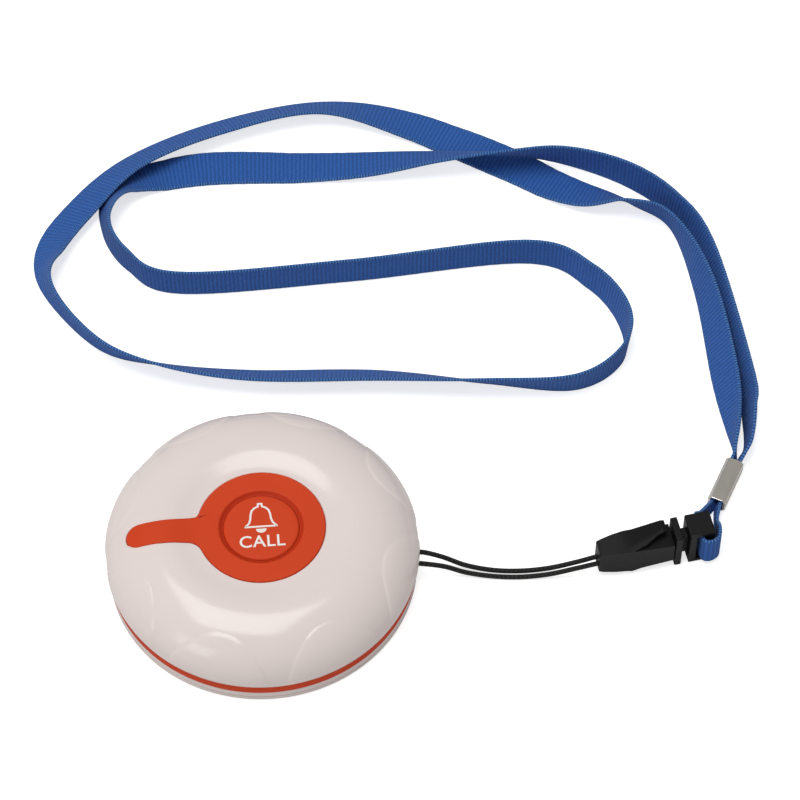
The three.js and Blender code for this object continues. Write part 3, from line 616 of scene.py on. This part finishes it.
class CALLBUTTON_OT_upper_shell(bpy.types.Operator):
    """The upper shell with its dish, pad recess and raised grips"""

    bl_idname = "callbutton.upper_shell"
    bl_label = "Upper Shell"

    def execute(self, context):
        s = sizes()
        outline = pad_outline(0.05)
        angles = rim_angles(outline)
        bm = bmesh.new()
        ring = [bm.verts.new((x * MM, y * MM, (surface(math.hypot(x, y)) - 1.5) * MM)) for x, y in outline]
        for a, b in zip(ring, ring[1:] + ring[:1]):
            bm.edges.new((a, b))
        middle = s.crest_height - s.flank_height
        last = math.acos((s.seam_height + 0.5 - middle) / s.flank_height)

        def wall(drop):
            return lambda i: Vector((*outline[i], surface(math.hypot(*outline[i])) - drop)) * MM

        ring = next_ring(bm, ring, wall(0.25))
        count = 92
        for k in range(count + 1):
            share = k / count
            share = share ** 1.25

            def on_surface(i, share=share):
                x, y = outline[i]
                r0 = math.hypot(x, y) + 0.15
                a0 = math.atan2(y, x)
                turn_now = (angles[i] - a0 + math.pi) % (2 * math.pi) - math.pi
                a = a0 + turn_now * min(1.0, share * 1.3)
                start = (r0 - s.crest_radius) / s.flank_width
                if start > 0:
                    start = math.asin(start)
                t = start + (last - start) * share
                if t <= 0:
                    r = s.crest_radius + t * s.flank_width
                    return Vector((r * math.cos(a), r * math.sin(a), surface(r))) * MM
                r = s.crest_radius + s.flank_width * math.sin(t)
                z = middle + s.flank_height * math.cos(t)
                return with_grip(r * math.cos(a), r * math.sin(a), z, t)

            ring = next_ring(bm, ring, on_surface)
        lip = s.crest_radius + s.flank_width - 0.25

        def round_ring(r, z):
            return lambda i: Vector((r * math.cos(angles[i]), r * math.sin(angles[i]), z)) * MM

        skirt = [(SKIRT_R, 6.8), (SKIRT_R, 8.8), (36.0, 11.0)]
        for r, z in [(lip + 0.12, 7.02), (lip, 6.88), (lip - 0.25, 6.8)] + skirt:
            ring = next_ring(bm, ring, round_ring(r, z))
        finished(bm, "shell_top", shell_finish(), "housing", ("upper_shell",), 60.0)
        return {"FINISHED"}


class CALLBUTTON_OT_pad(bpy.types.Operator):
    """The soft pad with its tongue and the floor of the ring groove"""

    bl_idname = "callbutton.pad"
    bl_label = "Pad"

    def execute(self, context):
        s = sizes()
        outline = pad_outline(0.0)
        angles = rim_angles(outline)
        inner = s.key_radius + s.groove_width
        bm = bmesh.new()

        def at(i, r, drop):
            return Vector((r * math.cos(angles[i]), r * math.sin(angles[i]), surface(0) + 0.25 - drop)) * MM

        near = s.key_radius + 0.06
        ring = [bm.verts.new(at(i, near, 1.2)) for i in range(len(outline))]
        for a, b in zip(ring, ring[1:] + ring[:1]):
            bm.edges.new((a, b))
        floor = [(near, 0.85), (near + 0.08, 0.84)]
        for k in range(1, 9):
            t = k / 8
            floor.append((near + 0.08 + (inner - near) * t, 0.84 - 0.8 * t * t * (3 - 2 * t)))
        for r, drop in floor + [(inner + 0.2, 0.0)]:
            ring = next_ring(bm, ring, lambda i, r=r, drop=drop: at(i, r, drop))
        count = 22

        def between(i, share, drop, out):
            x, y = outline[i]
            r = math.hypot(x, y)
            pull = max(0.0, 1 - out / max(r, 1e-6))
            x, y = x * pull, y * pull
            a, b = (inner + 0.2) * math.cos(angles[i]), (inner + 0.2) * math.sin(angles[i])
            px, py = a + (x - a) * share, b + (y - b) * share
            return Vector((px, py, surface(math.hypot(px, py)) + 0.25 - drop)) * MM

        for k in range(1, count + 1):
            ring = next_ring(bm, ring, lambda i, k=k: between(i, k / count, 0.0, 0.32))
        for out, drop in ((0.16, 0.04), (0.05, 0.14), (0.0, 0.34), (0.0, 1.3)):
            ring = next_ring(bm, ring, lambda i, out=out, drop=drop: between(i, 1.0, drop, out))
        bmesh.ops.bridge_loops(bm, edges=[e for e in bm.edges if e.is_boundary])
        # The pad's finish paints shade into its ring groove
        orange = orange_finish("pad_orange", 0.5, 1.0, True)
        finished(bm, "soft_pad", orange, "housing", ("pad",), 70.0)
        return {"FINISHED"}


PRINT_TURN = Matrix.Rotation(math.radians(-2.5), 4, "Z")
PRINT_THICK = 0.03
PRINT_SUNK = 0.005


class CALLBUTTON_OT_key(bpy.types.Operator):
    """The round press key with its white print"""

    bl_idname = "callbutton.key"
    bl_label = "Key"

    def execute(self, context):
        s = sizes()
        top = surface(0) - 0.1
        r = s.key_radius
        profile = [(0, top), (r * 0.5, top)]
        profile += rounded([(r * 0.8, top), (r, top), (r, 16.3)], 0.85, 7)
        profile += [(r + 1.2, 16.3), (r + 1.2, 15.4), (r - 1.4, 15.4), (r - 1.4, top - 1.5), (0, top - 1.5)]
        bm = spun(profile, 160)
        orange = orange_finish("key_orange", 0.46)
        finished(bm, "press_key", orange, "key", ("call_key",), 50.0)
        self.print_word(top)
        self.print_bell(top)
        return {"FINISHED"}

    def laid(self, mesh, name, height, place):
        bm = bmesh.new()
        bm.from_mesh(mesh)
        bpy.data.meshes.remove(mesh)
        bmesh.ops.transform(bm, matrix=place, verts=bm.verts)
        for v in bm.verts:
            v.co.z = height * MM
        lower = bmesh.ops.extrude_face_region(bm, geom=bm.faces)["geom"]
        raised = [v for v in lower if isinstance(v, bmesh.types.BMVert)]
        bmesh.ops.translate(bm, vec=(0, 0, PRINT_THICK * MM), verts=raised)
        material = bpy.data.materials.get("white_print") or print_finish()
        finished(bm, name, material, "key", (), 20.0)

    def print_word(self, top):
        curve = bpy.data.curves.new("word", "FONT")
        curve.body = "CALL"
        curve.align_x = "CENTER"
        curve.align_y = "CENTER"
        curve.size = 4.75 * MM
        curve.space_character = 1.06
        curve.resolution_u = 6
        curve.offset = 0.05 * MM
        text = bpy.data.objects.new("word", curve)
        bpy.context.scene.collection.objects.link(text)
        bpy.context.view_layer.update()
        mesh = bpy.data.meshes.new_from_object(text.evaluated_get(bpy.context.evaluated_depsgraph_get()))
        bpy.data.objects.remove(text)
        self.laid(mesh, "print_word", top - PRINT_SUNK, PRINT_TURN @ Matrix.Translation((0, -4.3 * MM, 0)))

    def print_bell(self, top):
        crown = [(0.0, 4.3), (0.7, 4.25), (0.75, 3.4), (1.6, 3.0), (2.35, 2.2), (2.7, 1.0)]
        skirt = [(2.85, -0.4), (3.2, -1.5), (4.15, -2.5), (4.15, -2.95), (1.5, -2.95), (0.0, -2.95)]
        right = crown + skirt
        outline = right + [(-x, y) for x, y in reversed(right[1:-1])]
        bm = bmesh.new()
        inner = []
        for before, here, after in zip(outline[-1:] + outline, outline, outline[1:] + outline[:1]):
            u, v = (Vector(here) - Vector(before)).normalized(), (Vector(after) - Vector(here)).normalized()
            side = Vector((u.y + v.y, -u.x - v.x)).normalized()
            inner.append(Vector(here) + side * 0.5 / max(0.6, abs(side.dot(Vector((u.y, -u.x))))))
        edges = []
        for points in (outline, inner):
            verts = [bm.verts.new((x * MM, y * MM, 0)) for x, y in points]
            edges += [bm.edges.new(pair) for pair in zip(verts, verts[1:] + verts[:1])]
        bmesh.ops.bridge_loops(bm, edges=edges)
        half_turn = [math.pi + math.pi * i / 14 for i in range(15)]
        clapper = [(1.35 * math.cos(a), -3.35 + 1.2 * math.sin(a)) for a in half_turn]
        bm.faces.new([bm.verts.new((x * MM, y * MM, 0)) for x, y in clapper])
        mesh = bpy.data.meshes.new("bell")
        bm.to_mesh(mesh)
        bm.free()
        self.laid(mesh, "print_bell", top - PRINT_SUNK, PRINT_TURN @ Matrix.Translation((0, 2.9 * MM, 0)))


class CALLBUTTON_OT_base(bpy.types.Operator):
    """The lower shell with its shadow line, screw wells and the seal ring above it"""

    bl_idname = "callbutton.base"
    bl_label = "Base and Seal Ring"

    def execute(self, context):
        r = BASE_R
        foot = BASE_EDGE
        quarter = [math.pi / 2 * i / 10 for i in range(11)]
        edge = [(r - foot + foot * math.sin(a), foot - foot * math.cos(a)) for a in quarter]
        groove = [(r, 1.72), (r - 0.06, 1.78), (r - 0.3, 1.8), (r - 0.3, 2.02), (r - 0.06, 2.04), (r, 2.1)]
        top = rounded([(r, 2.2), (r, 3.8), (36.8, 3.8)], 0.2, 3)[1:]
        profile = [(0, 0)] + edge + groove + top + [(36.8, 8.5), (35.0, 8.5), (35.0, 1.8), (0, 1.8)]
        bm = spun(profile, 256)
        white = bpy.data.materials["gloss_white"]
        base = finished(bm, "shell_base", white, "housing", ("lower_shell",), 35.0)
        tools = []
        for az in (45, 135, 225, 315):
            x, y = SCREW_AT * math.cos(math.radians(az)), SCREW_AT * math.sin(math.radians(az))
            tools.append(rod(WELL_R, -1, WELL_DEPTH, x, y))
        cut(base, tools)
        low = [(SKIRT_R, 3.9), (RING_R - 0.3, 3.9), (RING_R - 0.06, 4.06), (RING_R, 4.4)]
        high = [(RING_R, 6.2), (RING_R - 0.06, 6.54), (RING_R - 0.3, 6.7), (SKIRT_R, 6.7)]
        bm = spun(low + high, 240, 360 - 2 * LUG_GAP, LUG_AZ + LUG_GAP)
        orange = orange_finish("ring_orange", 0.56, 0.97)
        finished(bm, "ring_seal", orange, "housing", ("seal_ring",), 40.0)
        copy_of("cord_lug", "lug_block", white, 0.25, "housing")
        return {"FINISHED"}


# Cord and ribbon


def between_rows(rows, t):
    """The row at t from 0 to 1 on a smooth curve through all rows"""
    n = len(rows) - 1
    k = min(n - 1, int(t * n))
    s = t * n - k

    def row(i):
        if i < 0:
            return [2 * a - b for a, b in zip(rows[0], rows[1])]
        if i > n:
            return [2 * a - b for a, b in zip(rows[n], rows[n - 1])]
        return rows[i]

    out = []
    for a, b, c, d in zip(row(k - 1), row(k), row(k + 1), row(k + 2)):
        h = (2 * s**3 - 3 * s**2 + 1) * b + (s**3 - 2 * s**2 + s) * (c - a) / 2
        out.append(h + (3 * s**2 - 2 * s**3) * c + (s**3 - s**2) * (d - b) / 2)
    return out


def even_rows(rows, step):
    """Rows resampled at even steps of length"""
    fine = [between_rows(rows, i / 6000) for i in range(6001)]
    lengths = [0.0]
    for a, b in zip(fine, fine[1:]):
        lengths.append(lengths[-1] + math.dist(a[:2], b[:2]))
    count = max(8, round(lengths[-1] / step))
    out = []
    k = 0
    for i in range(count + 1):
        goal = lengths[-1] * i / count
        while k < len(fine) - 2 and lengths[k + 1] < goal:
            k += 1
        out.append(fine[k])
    return out


def turned(x0, y0, azimuth, x, y):
    """A point given in the crimp's or the buckle's own directions"""
    a = math.radians(azimuth)
    return [x0 + x * math.cos(a) - y * math.sin(a), y0 + x * math.sin(a) + y * math.cos(a)]


def in_crimp(x, y):
    return turned(117.4, 2.8, 59.1, x, y)


def in_buckle(x, y):
    return turned(84.23, -11.2, 6, x, y)


# Rows of x, y, lean in degrees, lift and share of the full width
NECK_ROWS = [
    [*in_crimp(11.6, -0.72), 112, 1.0, 0.3],
    [*in_crimp(13.7, -0.72), 112, 1.0, 0.3],
    [*in_crimp(16.4, -1.0), 108, 0.8, 0.42],
    [*in_crimp(20.4, -1.15), 104, 0.4, 0.65],
    [130.4, 27.4, 104, 0, 1], [131.1, 38.6, 112, 0, 1], [127.9, 80.2, 112, 0, 1],
    [121.8, 97.7, 98, 0, 1], [111, 109.4, 93, 0, 1], [95.6, 117.1, 80, 0.6, 1], [79.6, 119.5, 57, 2.2, 1],
    [61.1, 121.6, 38, 1.5, 1], [36.5, 124.4, 9, 0, 1], [-4.5, 128.3, -6, 0, 1], [-25.1, 124.4, 22, 0, 1],
    [-31.3, 110.4, 76, 0, 1], [-26.8, 97.3, 91, 0, 1], [-13.4, 87.7, 93, 0, 1], [32.2, 86.2, 93, 0, 1],
    [80.2, 86.6, 90, 0, 1], [96.2, 76.2, 84, 0, 1], [103, 62.2, 80, 0, 1], [100.3, 50.4, 86, 0, 1],
    [86.7, 43.1, 78, 0, 1], [63.3, 46.6, 60, 0, 1], [34.9, 52.5, 43, 0, 1], [2.3, 56.5, 43, 0, 1],
    [-20.9, 62.4, 56, 0, 1], [-36.6, 70.9, 76, 0, 1], [-48, 89.2, 95, 0, 1], [-47.2, 104, 148, 0, 1],
    [-38.6, 116.9, 158, 0, 1], [-22.6, 130.6, 147, 0.6, 1], [2.2, 140.4, 146, 0, 1], [30.4, 143.9, 145, 0, 1],
    [55.4, 136, 173, 0, 1], [79, 120.5, 186, 0, 1], [97.3, 107, 168, 0, 1], [110.4, 100.3, 122, 0, 1],
    [120.3, 92.1, 100, 0, 1], [125.6, 70.2, 68, 0, 1], [126.3, 41, 55, 0, 1],
    [125.9, 26, 66, 0.4, 0.75],
    [*in_crimp(16.4, 1.0), 96, 0.8, 0.42],
    [*in_crimp(13.7, 0.72), 108, 1.0, 0.3],
    [*in_crimp(11.6, 0.72), 112, 1.0, 0.3],
]
LOOP_SHARE = 9.4 / 10.4
LOOP_ROWS = [
    [*in_crimp(2.0, 0.72), 112, 1.0, 0.3],
    [*in_crimp(-0.6, 0.72), 110, 1.0, 0.3],
    [*in_buckle(29.1, 6.6), 90, 1.3, (LOOP_SHARE + 0.25) / 2],
    [*in_buckle(26.75, 4.4), 90, 1.3, LOOP_SHARE],
    [*in_buckle(26.55, 1.5), 90, 1.3, LOOP_SHARE],
    [*in_buckle(26.55, -1.5), 90, 1.3, LOOP_SHARE],
    [*in_buckle(26.95, -4.2), 90, 1.3, LOOP_SHARE],
    [*in_buckle(28.9, -4.7), 90, 1.3, LOOP_SHARE],
    [*in_buckle(30.9, -3.6), 90, 1.3, LOOP_SHARE],
    [*in_buckle(31.8, -0.6), 90, 1.3, LOOP_SHARE],
    [*in_buckle(32.5, 3.6), 90, 1.3, (LOOP_SHARE + 0.25) / 2],
    [*in_crimp(-0.6, -0.72), 110, 1.0, 0.3],
    [*in_crimp(2.0, -0.72), 112, 1.0, 0.3],
]


def middle_of(row):
    """The centreline's point at a row, in millimetres"""
    x, y, lean, lift, share = row
    b = math.radians(lean)
    rise = soft().width * share / 2 * abs(math.sin(b)) + soft().thickness / 2 * abs(math.cos(b))
    return Vector((x, y, rise + lift + 0.1))


def flat_band(rows, step):
    """A woven band along its rows, with rounded selvedges and its UV in metres for the weave"""
    path = even_rows(rows, step)
    half, thick = soft().width / 2, soft().thickness / 2
    lanes = 14
    face = [(-half + 0.25 + (2 * half - 0.5) * i / lanes) for i in range(lanes + 1)]
    selvedge = [(half - 0.06, thick * 0.6), (half, 0.0), (half - 0.06, -thick * 0.6)]
    section = [(w, thick) for w in face] + selvedge
    section += [(-w, -t) for w, t in section]
    around = len(section)
    bm = bmesh.new()
    bmesh.ops.create_grid(bm, x_segments=len(path) - 1, y_segments=around, size=0.5)
    weave = bm.loops.layers.uv.new("weave")
    bm.verts.ensure_lookup_table()
    spots = {}
    for v in bm.verts:
        spots[v] = (round((v.co.x + 0.5) * (len(path) - 1)), round((v.co.y + 0.5) * around))
    length = [0.0]
    middles = [middle_of(row) for row in path]
    for a, b in zip(middles, middles[1:]):
        length.append(length[-1] + (b - a).length)
    for f in bm.faces:
        for loop in f.loops:
            i, j = spots[loop.vert]
            loop[weave].uv = (length[i] * MM, section[j % around][0] * MM)
    for v, (i, j) in spots.items():
        row = path[i]
        ahead = middles[min(i + 1, len(path) - 1)] - middles[max(i - 1, 0)]
        ahead.z = 0
        ahead.normalize()
        lean = math.radians(row[2])
        wide = Vector((-ahead.y * math.cos(lean), ahead.x * math.cos(lean), math.sin(lean)))
        out = ahead.cross(wide)
        w, t = section[j % around]
        ripple = 1 + 0.006 * math.sin(length[i] * 1.7) * (abs(w) / half) ** 4
        v.co = (middles[i] + wide * (w * row[4] * ripple) + out * t) * MM
    bmesh.ops.remove_doubles(bm, verts=bm.verts, dist=1e-7)
    bmesh.ops.holes_fill(bm, edges=[e for e in bm.edges if e.is_boundary], sides=0)
    return bm, middles, length[-1]


class CALLBUTTON_OT_ribbon(bpy.types.Operator):
    """The woven neck ribbon and the short ribbon round the buckle's bar"""

    bl_idname = "callbutton.ribbon"
    bl_label = "Ribbon"

    def execute(self, context):
        material = ribbon_finish()
        bm, middles, length = flat_band(NECK_ROWS, 0.9)
        neck = finished(bm, "neck_ribbon", material, "lanyard", ("ribbon",), 60.0)
        bm, _, _ = flat_band(LOOP_ROWS, 0.7)
        loop = finished(bm, "buckle_ribbon", material, "lanyard", ("ribbon_loop",), 60.0)
        path = [tuple(p * MM) for p in middles[::12]] + [tuple(middles[-1] * MM)]
        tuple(path[0])
        return {"FINISHED"}


CORD_POINTS = [
    (*in_buckle(3.6, 1), 4.4), (*in_buckle(0.2, 1), 4.4), (79, -10.5, 3.3), (72, -10.4, 1.6),
    (65, -9.9, 0.85), (58, -8.8, 0.8), (51, -6.9, 1.6), (45.5, -5, 3.5),
]


def at_lug(r, side, z=5.3):
    a = math.radians(LUG_AZ)
    return (r * math.cos(a) - side * math.sin(a), r * math.sin(a) + side * math.cos(a), z)


def cord_points():
    loop = 2.6
    quarters = [math.radians(d) for d in (0, 45, 90, 135, 180)]
    turn = [at_lug(31.8 - loop * math.sin(a), loop * math.cos(a)) for a in quarters]
    back = [(45.5, -7.9, 3.6), (51, -9.2, 1.7), (58, -10.7, 0.85), (65, -11.7, 0.8), (72, -12.2, 1.6),
            (79, -12.3, 3.3), (*in_buckle(0.2, -1), 4.4), (*in_buckle(3.6, -1), 4.4)]
    there = [at_lug(41, 1.7, 5.1), at_lug(39.1, 1.7), at_lug(35.2, 1.7), at_lug(34, 2.2)]
    home = [at_lug(34, -2.2), at_lug(35.2, -1.7), at_lug(39.1, -1.7), at_lug(41, -1.7, 5.1)]
    return [Vector(p) for p in CORD_POINTS + there + turn + home + back]


class CALLBUTTON_OT_cord(bpy.types.Operator):
    """The black cord from the buckle round the pin in the housing and back"""

    bl_idname = "callbutton.cord"
    bl_label = "Cord"

    def execute(self, context):
        points = cord_points()
        path = []
        for k in range(len(points) - 1):
            last = len(points) - 1
            p0, p1, p2, p3 = (points[max(0, min(last, k + j))] for j in (-1, 0, 1, 2))
            d0, d1, d2 = (max(1e-6, (a - b).length ** 0.5) for a, b in ((p1, p0), (p2, p1), (p3, p2)))
            m1 = m2 = p2 - p1
            if k:
                m1 = m1 + d1 * ((p1 - p0) / d0 - (p2 - p0) / (d0 + d1))
            if k < last - 1:
                m2 = m2 + d1 * ((p3 - p2) / d2 - (p3 - p1) / (d1 + d2))
            steps = max(3, round((p2 - p1).length / 0.5))
            for i in range(steps):
                t = i / steps
                a, b = 2 * t**3 - 3 * t**2, t**3 - 2 * t**2 + t
                path.append(p1 * (a + 1) + m1 * b - p2 * a + m2 * (t**3 - t**2))
        path.append(points[-1])
        around = 18
        radius = soft().cord / 2
        bm = bmesh.new()
        bmesh.ops.create_grid(bm, x_segments=len(path) - 1, y_segments=around, size=0.5)
        weave = bm.loops.layers.uv.new("weave")
        spots = {}
        for v in bm.verts:
            spots[v] = (round((v.co.x + 0.5) * (len(path) - 1)), round((v.co.y + 0.5) * around))
        length = [0.0]
        for a, b in zip(path, path[1:]):
            length.append(length[-1] + (b - a).length)
        for f in bm.faces:
            for loop in f.loops:
                i, j = spots[loop.vert]
                loop[weave].uv = (length[i] * MM, 2 * math.pi * radius * j / around * MM)
        for v, (i, j) in spots.items():
            ahead = (path[min(i + 1, len(path) - 1)] - path[max(i - 1, 0)]).normalized()
            side = ahead.cross(Vector((0, 0, 1))).normalized()
            up = side.cross(ahead)
            a = 2 * math.pi * j / around
            v.co = (path[i] + (side * math.cos(a) + up * math.sin(a)) * radius) * MM
        bmesh.ops.remove_doubles(bm, verts=bm.verts, dist=1e-7)
        bmesh.ops.holes_fill(bm, edges=[e for e in bm.edges if e.is_boundary], sides=0)
        piece = finished(bm, "black_cord", cord_finish(), "housing", ("cord",), 60.0)
        line = [tuple(p * MM) for p in path[::4]] + [tuple(path[-1] * MM)]
        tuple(line[0])
        return {"FINISHED"}


class CALLBUTTON_OT_buckle(bpy.types.Operator):
    """Both buckle halves and the crimp"""

    bl_idname = "callbutton.buckle"
    bl_label = "Buckle and Crimp"

    def execute(self, context):
        black = black_finish()
        copy_of("buckle_cord_half", "buckle_nose_side", black, 0.35, "housing", 25.0)
        copy_of("buckle_ribbon_half", "buckle_socket_side", black, 0.3, "lanyard", 25.0)
        steel = metal_finish("bright_crimp", (0.80, 0.76, 0.70), 0.08)
        copy_of("crimp", "crimp_sleeve", steel, 0.22, "lanyard", 25.0)
        return {"FINISHED"}


class CALLBUTTON_OT_inside(bpy.types.Operator):
    """Finishes of the pieces inside the housing"""

    bl_idname = "callbutton.inside"
    bl_label = "Inside"

    def execute(self, context):
        steel = metal_finish("plain_steel", (0.60, 0.60, 0.59), 0.26)
        screws = [f"board_screw_{i}" for i in (1, 2, 3)] + [f"housing_screw_{i}" for i in (1, 2, 3, 4)]
        dress(screws + ["cord_pin", "coin_cell", "cell_clip", "crystal"], steel)
        dress(["cell_contact"], metal_finish("contact_brass", (0.72, 0.55, 0.26), 0.3))
        dress(["antenna_coil"], metal_finish("coil_copper", (0.70, 0.34, 0.18), 0.28))
        dress(["circuit_board"], board_finish())
        dress(["cell_holder", "switch_body", "capacitor", "radio_chip"], bpy.data.materials["satin_black"])
        dress(["switch_plunger"], bpy.data.materials["gloss_white"])
        dress(["status_led", "light_pipe"], clear_finish())
        return {"FINISHED"}


class CALLBUTTON_OT_stage(bpy.types.Operator):
    """Floor, soft lamps, world and camera"""

    bl_idname = "callbutton.stage"
    bl_label = "Stage"

    def execute(self, context):
        scene = context.scene
        scene.view_settings.view_transform = "Standard"
        self.floor()
        self.world(scene)
        self.lamp("overhead", (-0.16, 0.10, 1.25), (0.02, 0.05, 0.0), 0.7, 9.2)
        self.lamp("left_front", (-1.1, -0.9, 0.75), (0.02, 0.03, 0.0), 0.6, 3.5)
        a, e = math.radians(-7), math.radians(56)
        back = Vector((math.sin(a) * math.cos(e), -math.cos(a) * math.cos(e), math.sin(e)))
        data = bpy.data.cameras.new("camera")
        data.lens = 162.0
        data.sensor_width = 36.0
        data.clip_end = 20.0
        camera = bpy.data.objects.new("camera", data)
        scene.collection.objects.link(camera)
        camera.location = Vector((-23.77, -479.51, 785.76)) * MM
        camera.rotation_mode = "QUATERNION"
        camera.rotation_quaternion = (-back).to_track_quat("-Z", "Y")
        scene.camera = camera
        return {"FINISHED"}

    def floor(self):
        bm = bmesh.new()
        bmesh.ops.create_grid(bm, x_segments=2, y_segments=2, size=4.0)
        mesh = bpy.data.meshes.new("floor")
        bm.to_mesh(mesh)
        bm.free()
        f = Finish("pale_floor", Specular_IOR_Level=0.1)
        f.colour(f.mix((0.80, 0.80, 0.80), (0.81, 0.81, 0.81), f.noise(2.0)))
        f.rough(0.9)
        seen = f.add("ShaderNodeLightPath", "Is Camera Ray")
        glow = f.add("ShaderNodeEmission", Color=(1.0, 1.0, 1.0), Strength=seen * 0.66)
        both = node(f.tree, "ShaderNodeAddShader", {}, {0: Wire(f.tree, f.shader.outputs[0]), 1: glow})
        f.tree.links.new(both.outputs[0], f.tree.nodes["Material Output"].inputs["Surface"])
        mesh.materials.append(f.material)
        floor = bpy.data.objects.new("floor", mesh)
        bpy.context.scene.collection.objects.link(floor)

    def world(self, scene):
        world = bpy.data.worlds.new("studio")
        world.use_nodes = True
        world.node_tree.nodes["Background"].inputs["Color"].default_value = (1.0, 0.985, 0.97, 1.0)
        world.node_tree.nodes["Background"].inputs["Strength"].default_value = 0.37
        scene.world = world

    def lamp(self, name, place, aim, size, power):
        data = bpy.data.lights.new(name, "AREA")
        data.shape = "SQUARE"
        data.size = size
        data.energy = power
        lamp = bpy.data.objects.new(name, data)
        bpy.context.scene.collection.objects.link(lamp)
        lamp.location = place
        lamp.rotation_euler = (Vector(aim) - Vector(place)).to_track_quat("-Z", "Y").to_euler()


class CALLBUTTON_PT_pieces(bpy.types.Panel):
    """Lists the pieces and their sizes"""

    bl_idname = "CALLBUTTON_PT_pieces"
    bl_label = "Call Button"
    bl_space_type = "VIEW_3D"
    bl_region_type = "UI"
    bl_category = "Call Button"

    def draw(self, context):
        for group in (sizes(), soft(), colours()):
            box = self.layout.box()
            for name in type(group).__annotations__:
                box.prop(group, name)
        for operator in OPERATORS:
            self.layout.operator(operator.bl_idname)


GROUPS = (HousingSizes, RibbonSizes, Colours)
OPERATORS = (
    CALLBUTTON_OT_stage,
    CALLBUTTON_OT_buckle,
    CALLBUTTON_OT_ribbon,
    CALLBUTTON_OT_cord,
    CALLBUTTON_OT_upper_shell,
    CALLBUTTON_OT_base,
    CALLBUTTON_OT_pad,
    CALLBUTTON_OT_key,
    CALLBUTTON_OT_inside,
)


def register():
    for cls in GROUPS + OPERATORS + (CALLBUTTON_PT_pieces,):
        bpy.utils.register_class(cls)
    bpy.types.Scene.call_button_housing = bpy.props.PointerProperty(type=HousingSizes)
    bpy.types.Scene.call_button_ribbon = bpy.props.PointerProperty(type=RibbonSizes)
    bpy.types.Scene.call_button_colours = bpy.props.PointerProperty(type=Colours)


def unregister():
    del bpy.types.Scene.call_button_colours
    del bpy.types.Scene.call_button_ribbon
    del bpy.types.Scene.call_button_housing
    for cls in reversed(GROUPS + OPERATORS + (CALLBUTTON_PT_pieces,)):
        bpy.utils.unregister_class(cls)


def main():
    register()
    bpy.ops.callbutton.stage()
    bpy.ops.callbutton.buckle()
    bpy.ops.callbutton.ribbon()
    bpy.ops.callbutton.cord()
    bpy.ops.callbutton.upper_shell()
    bpy.ops.callbutton.base()
    bpy.ops.callbutton.pad()
    bpy.ops.callbutton.key()
    bpy.ops.callbutton.inside()


if __name__ == "__main__":
    main()
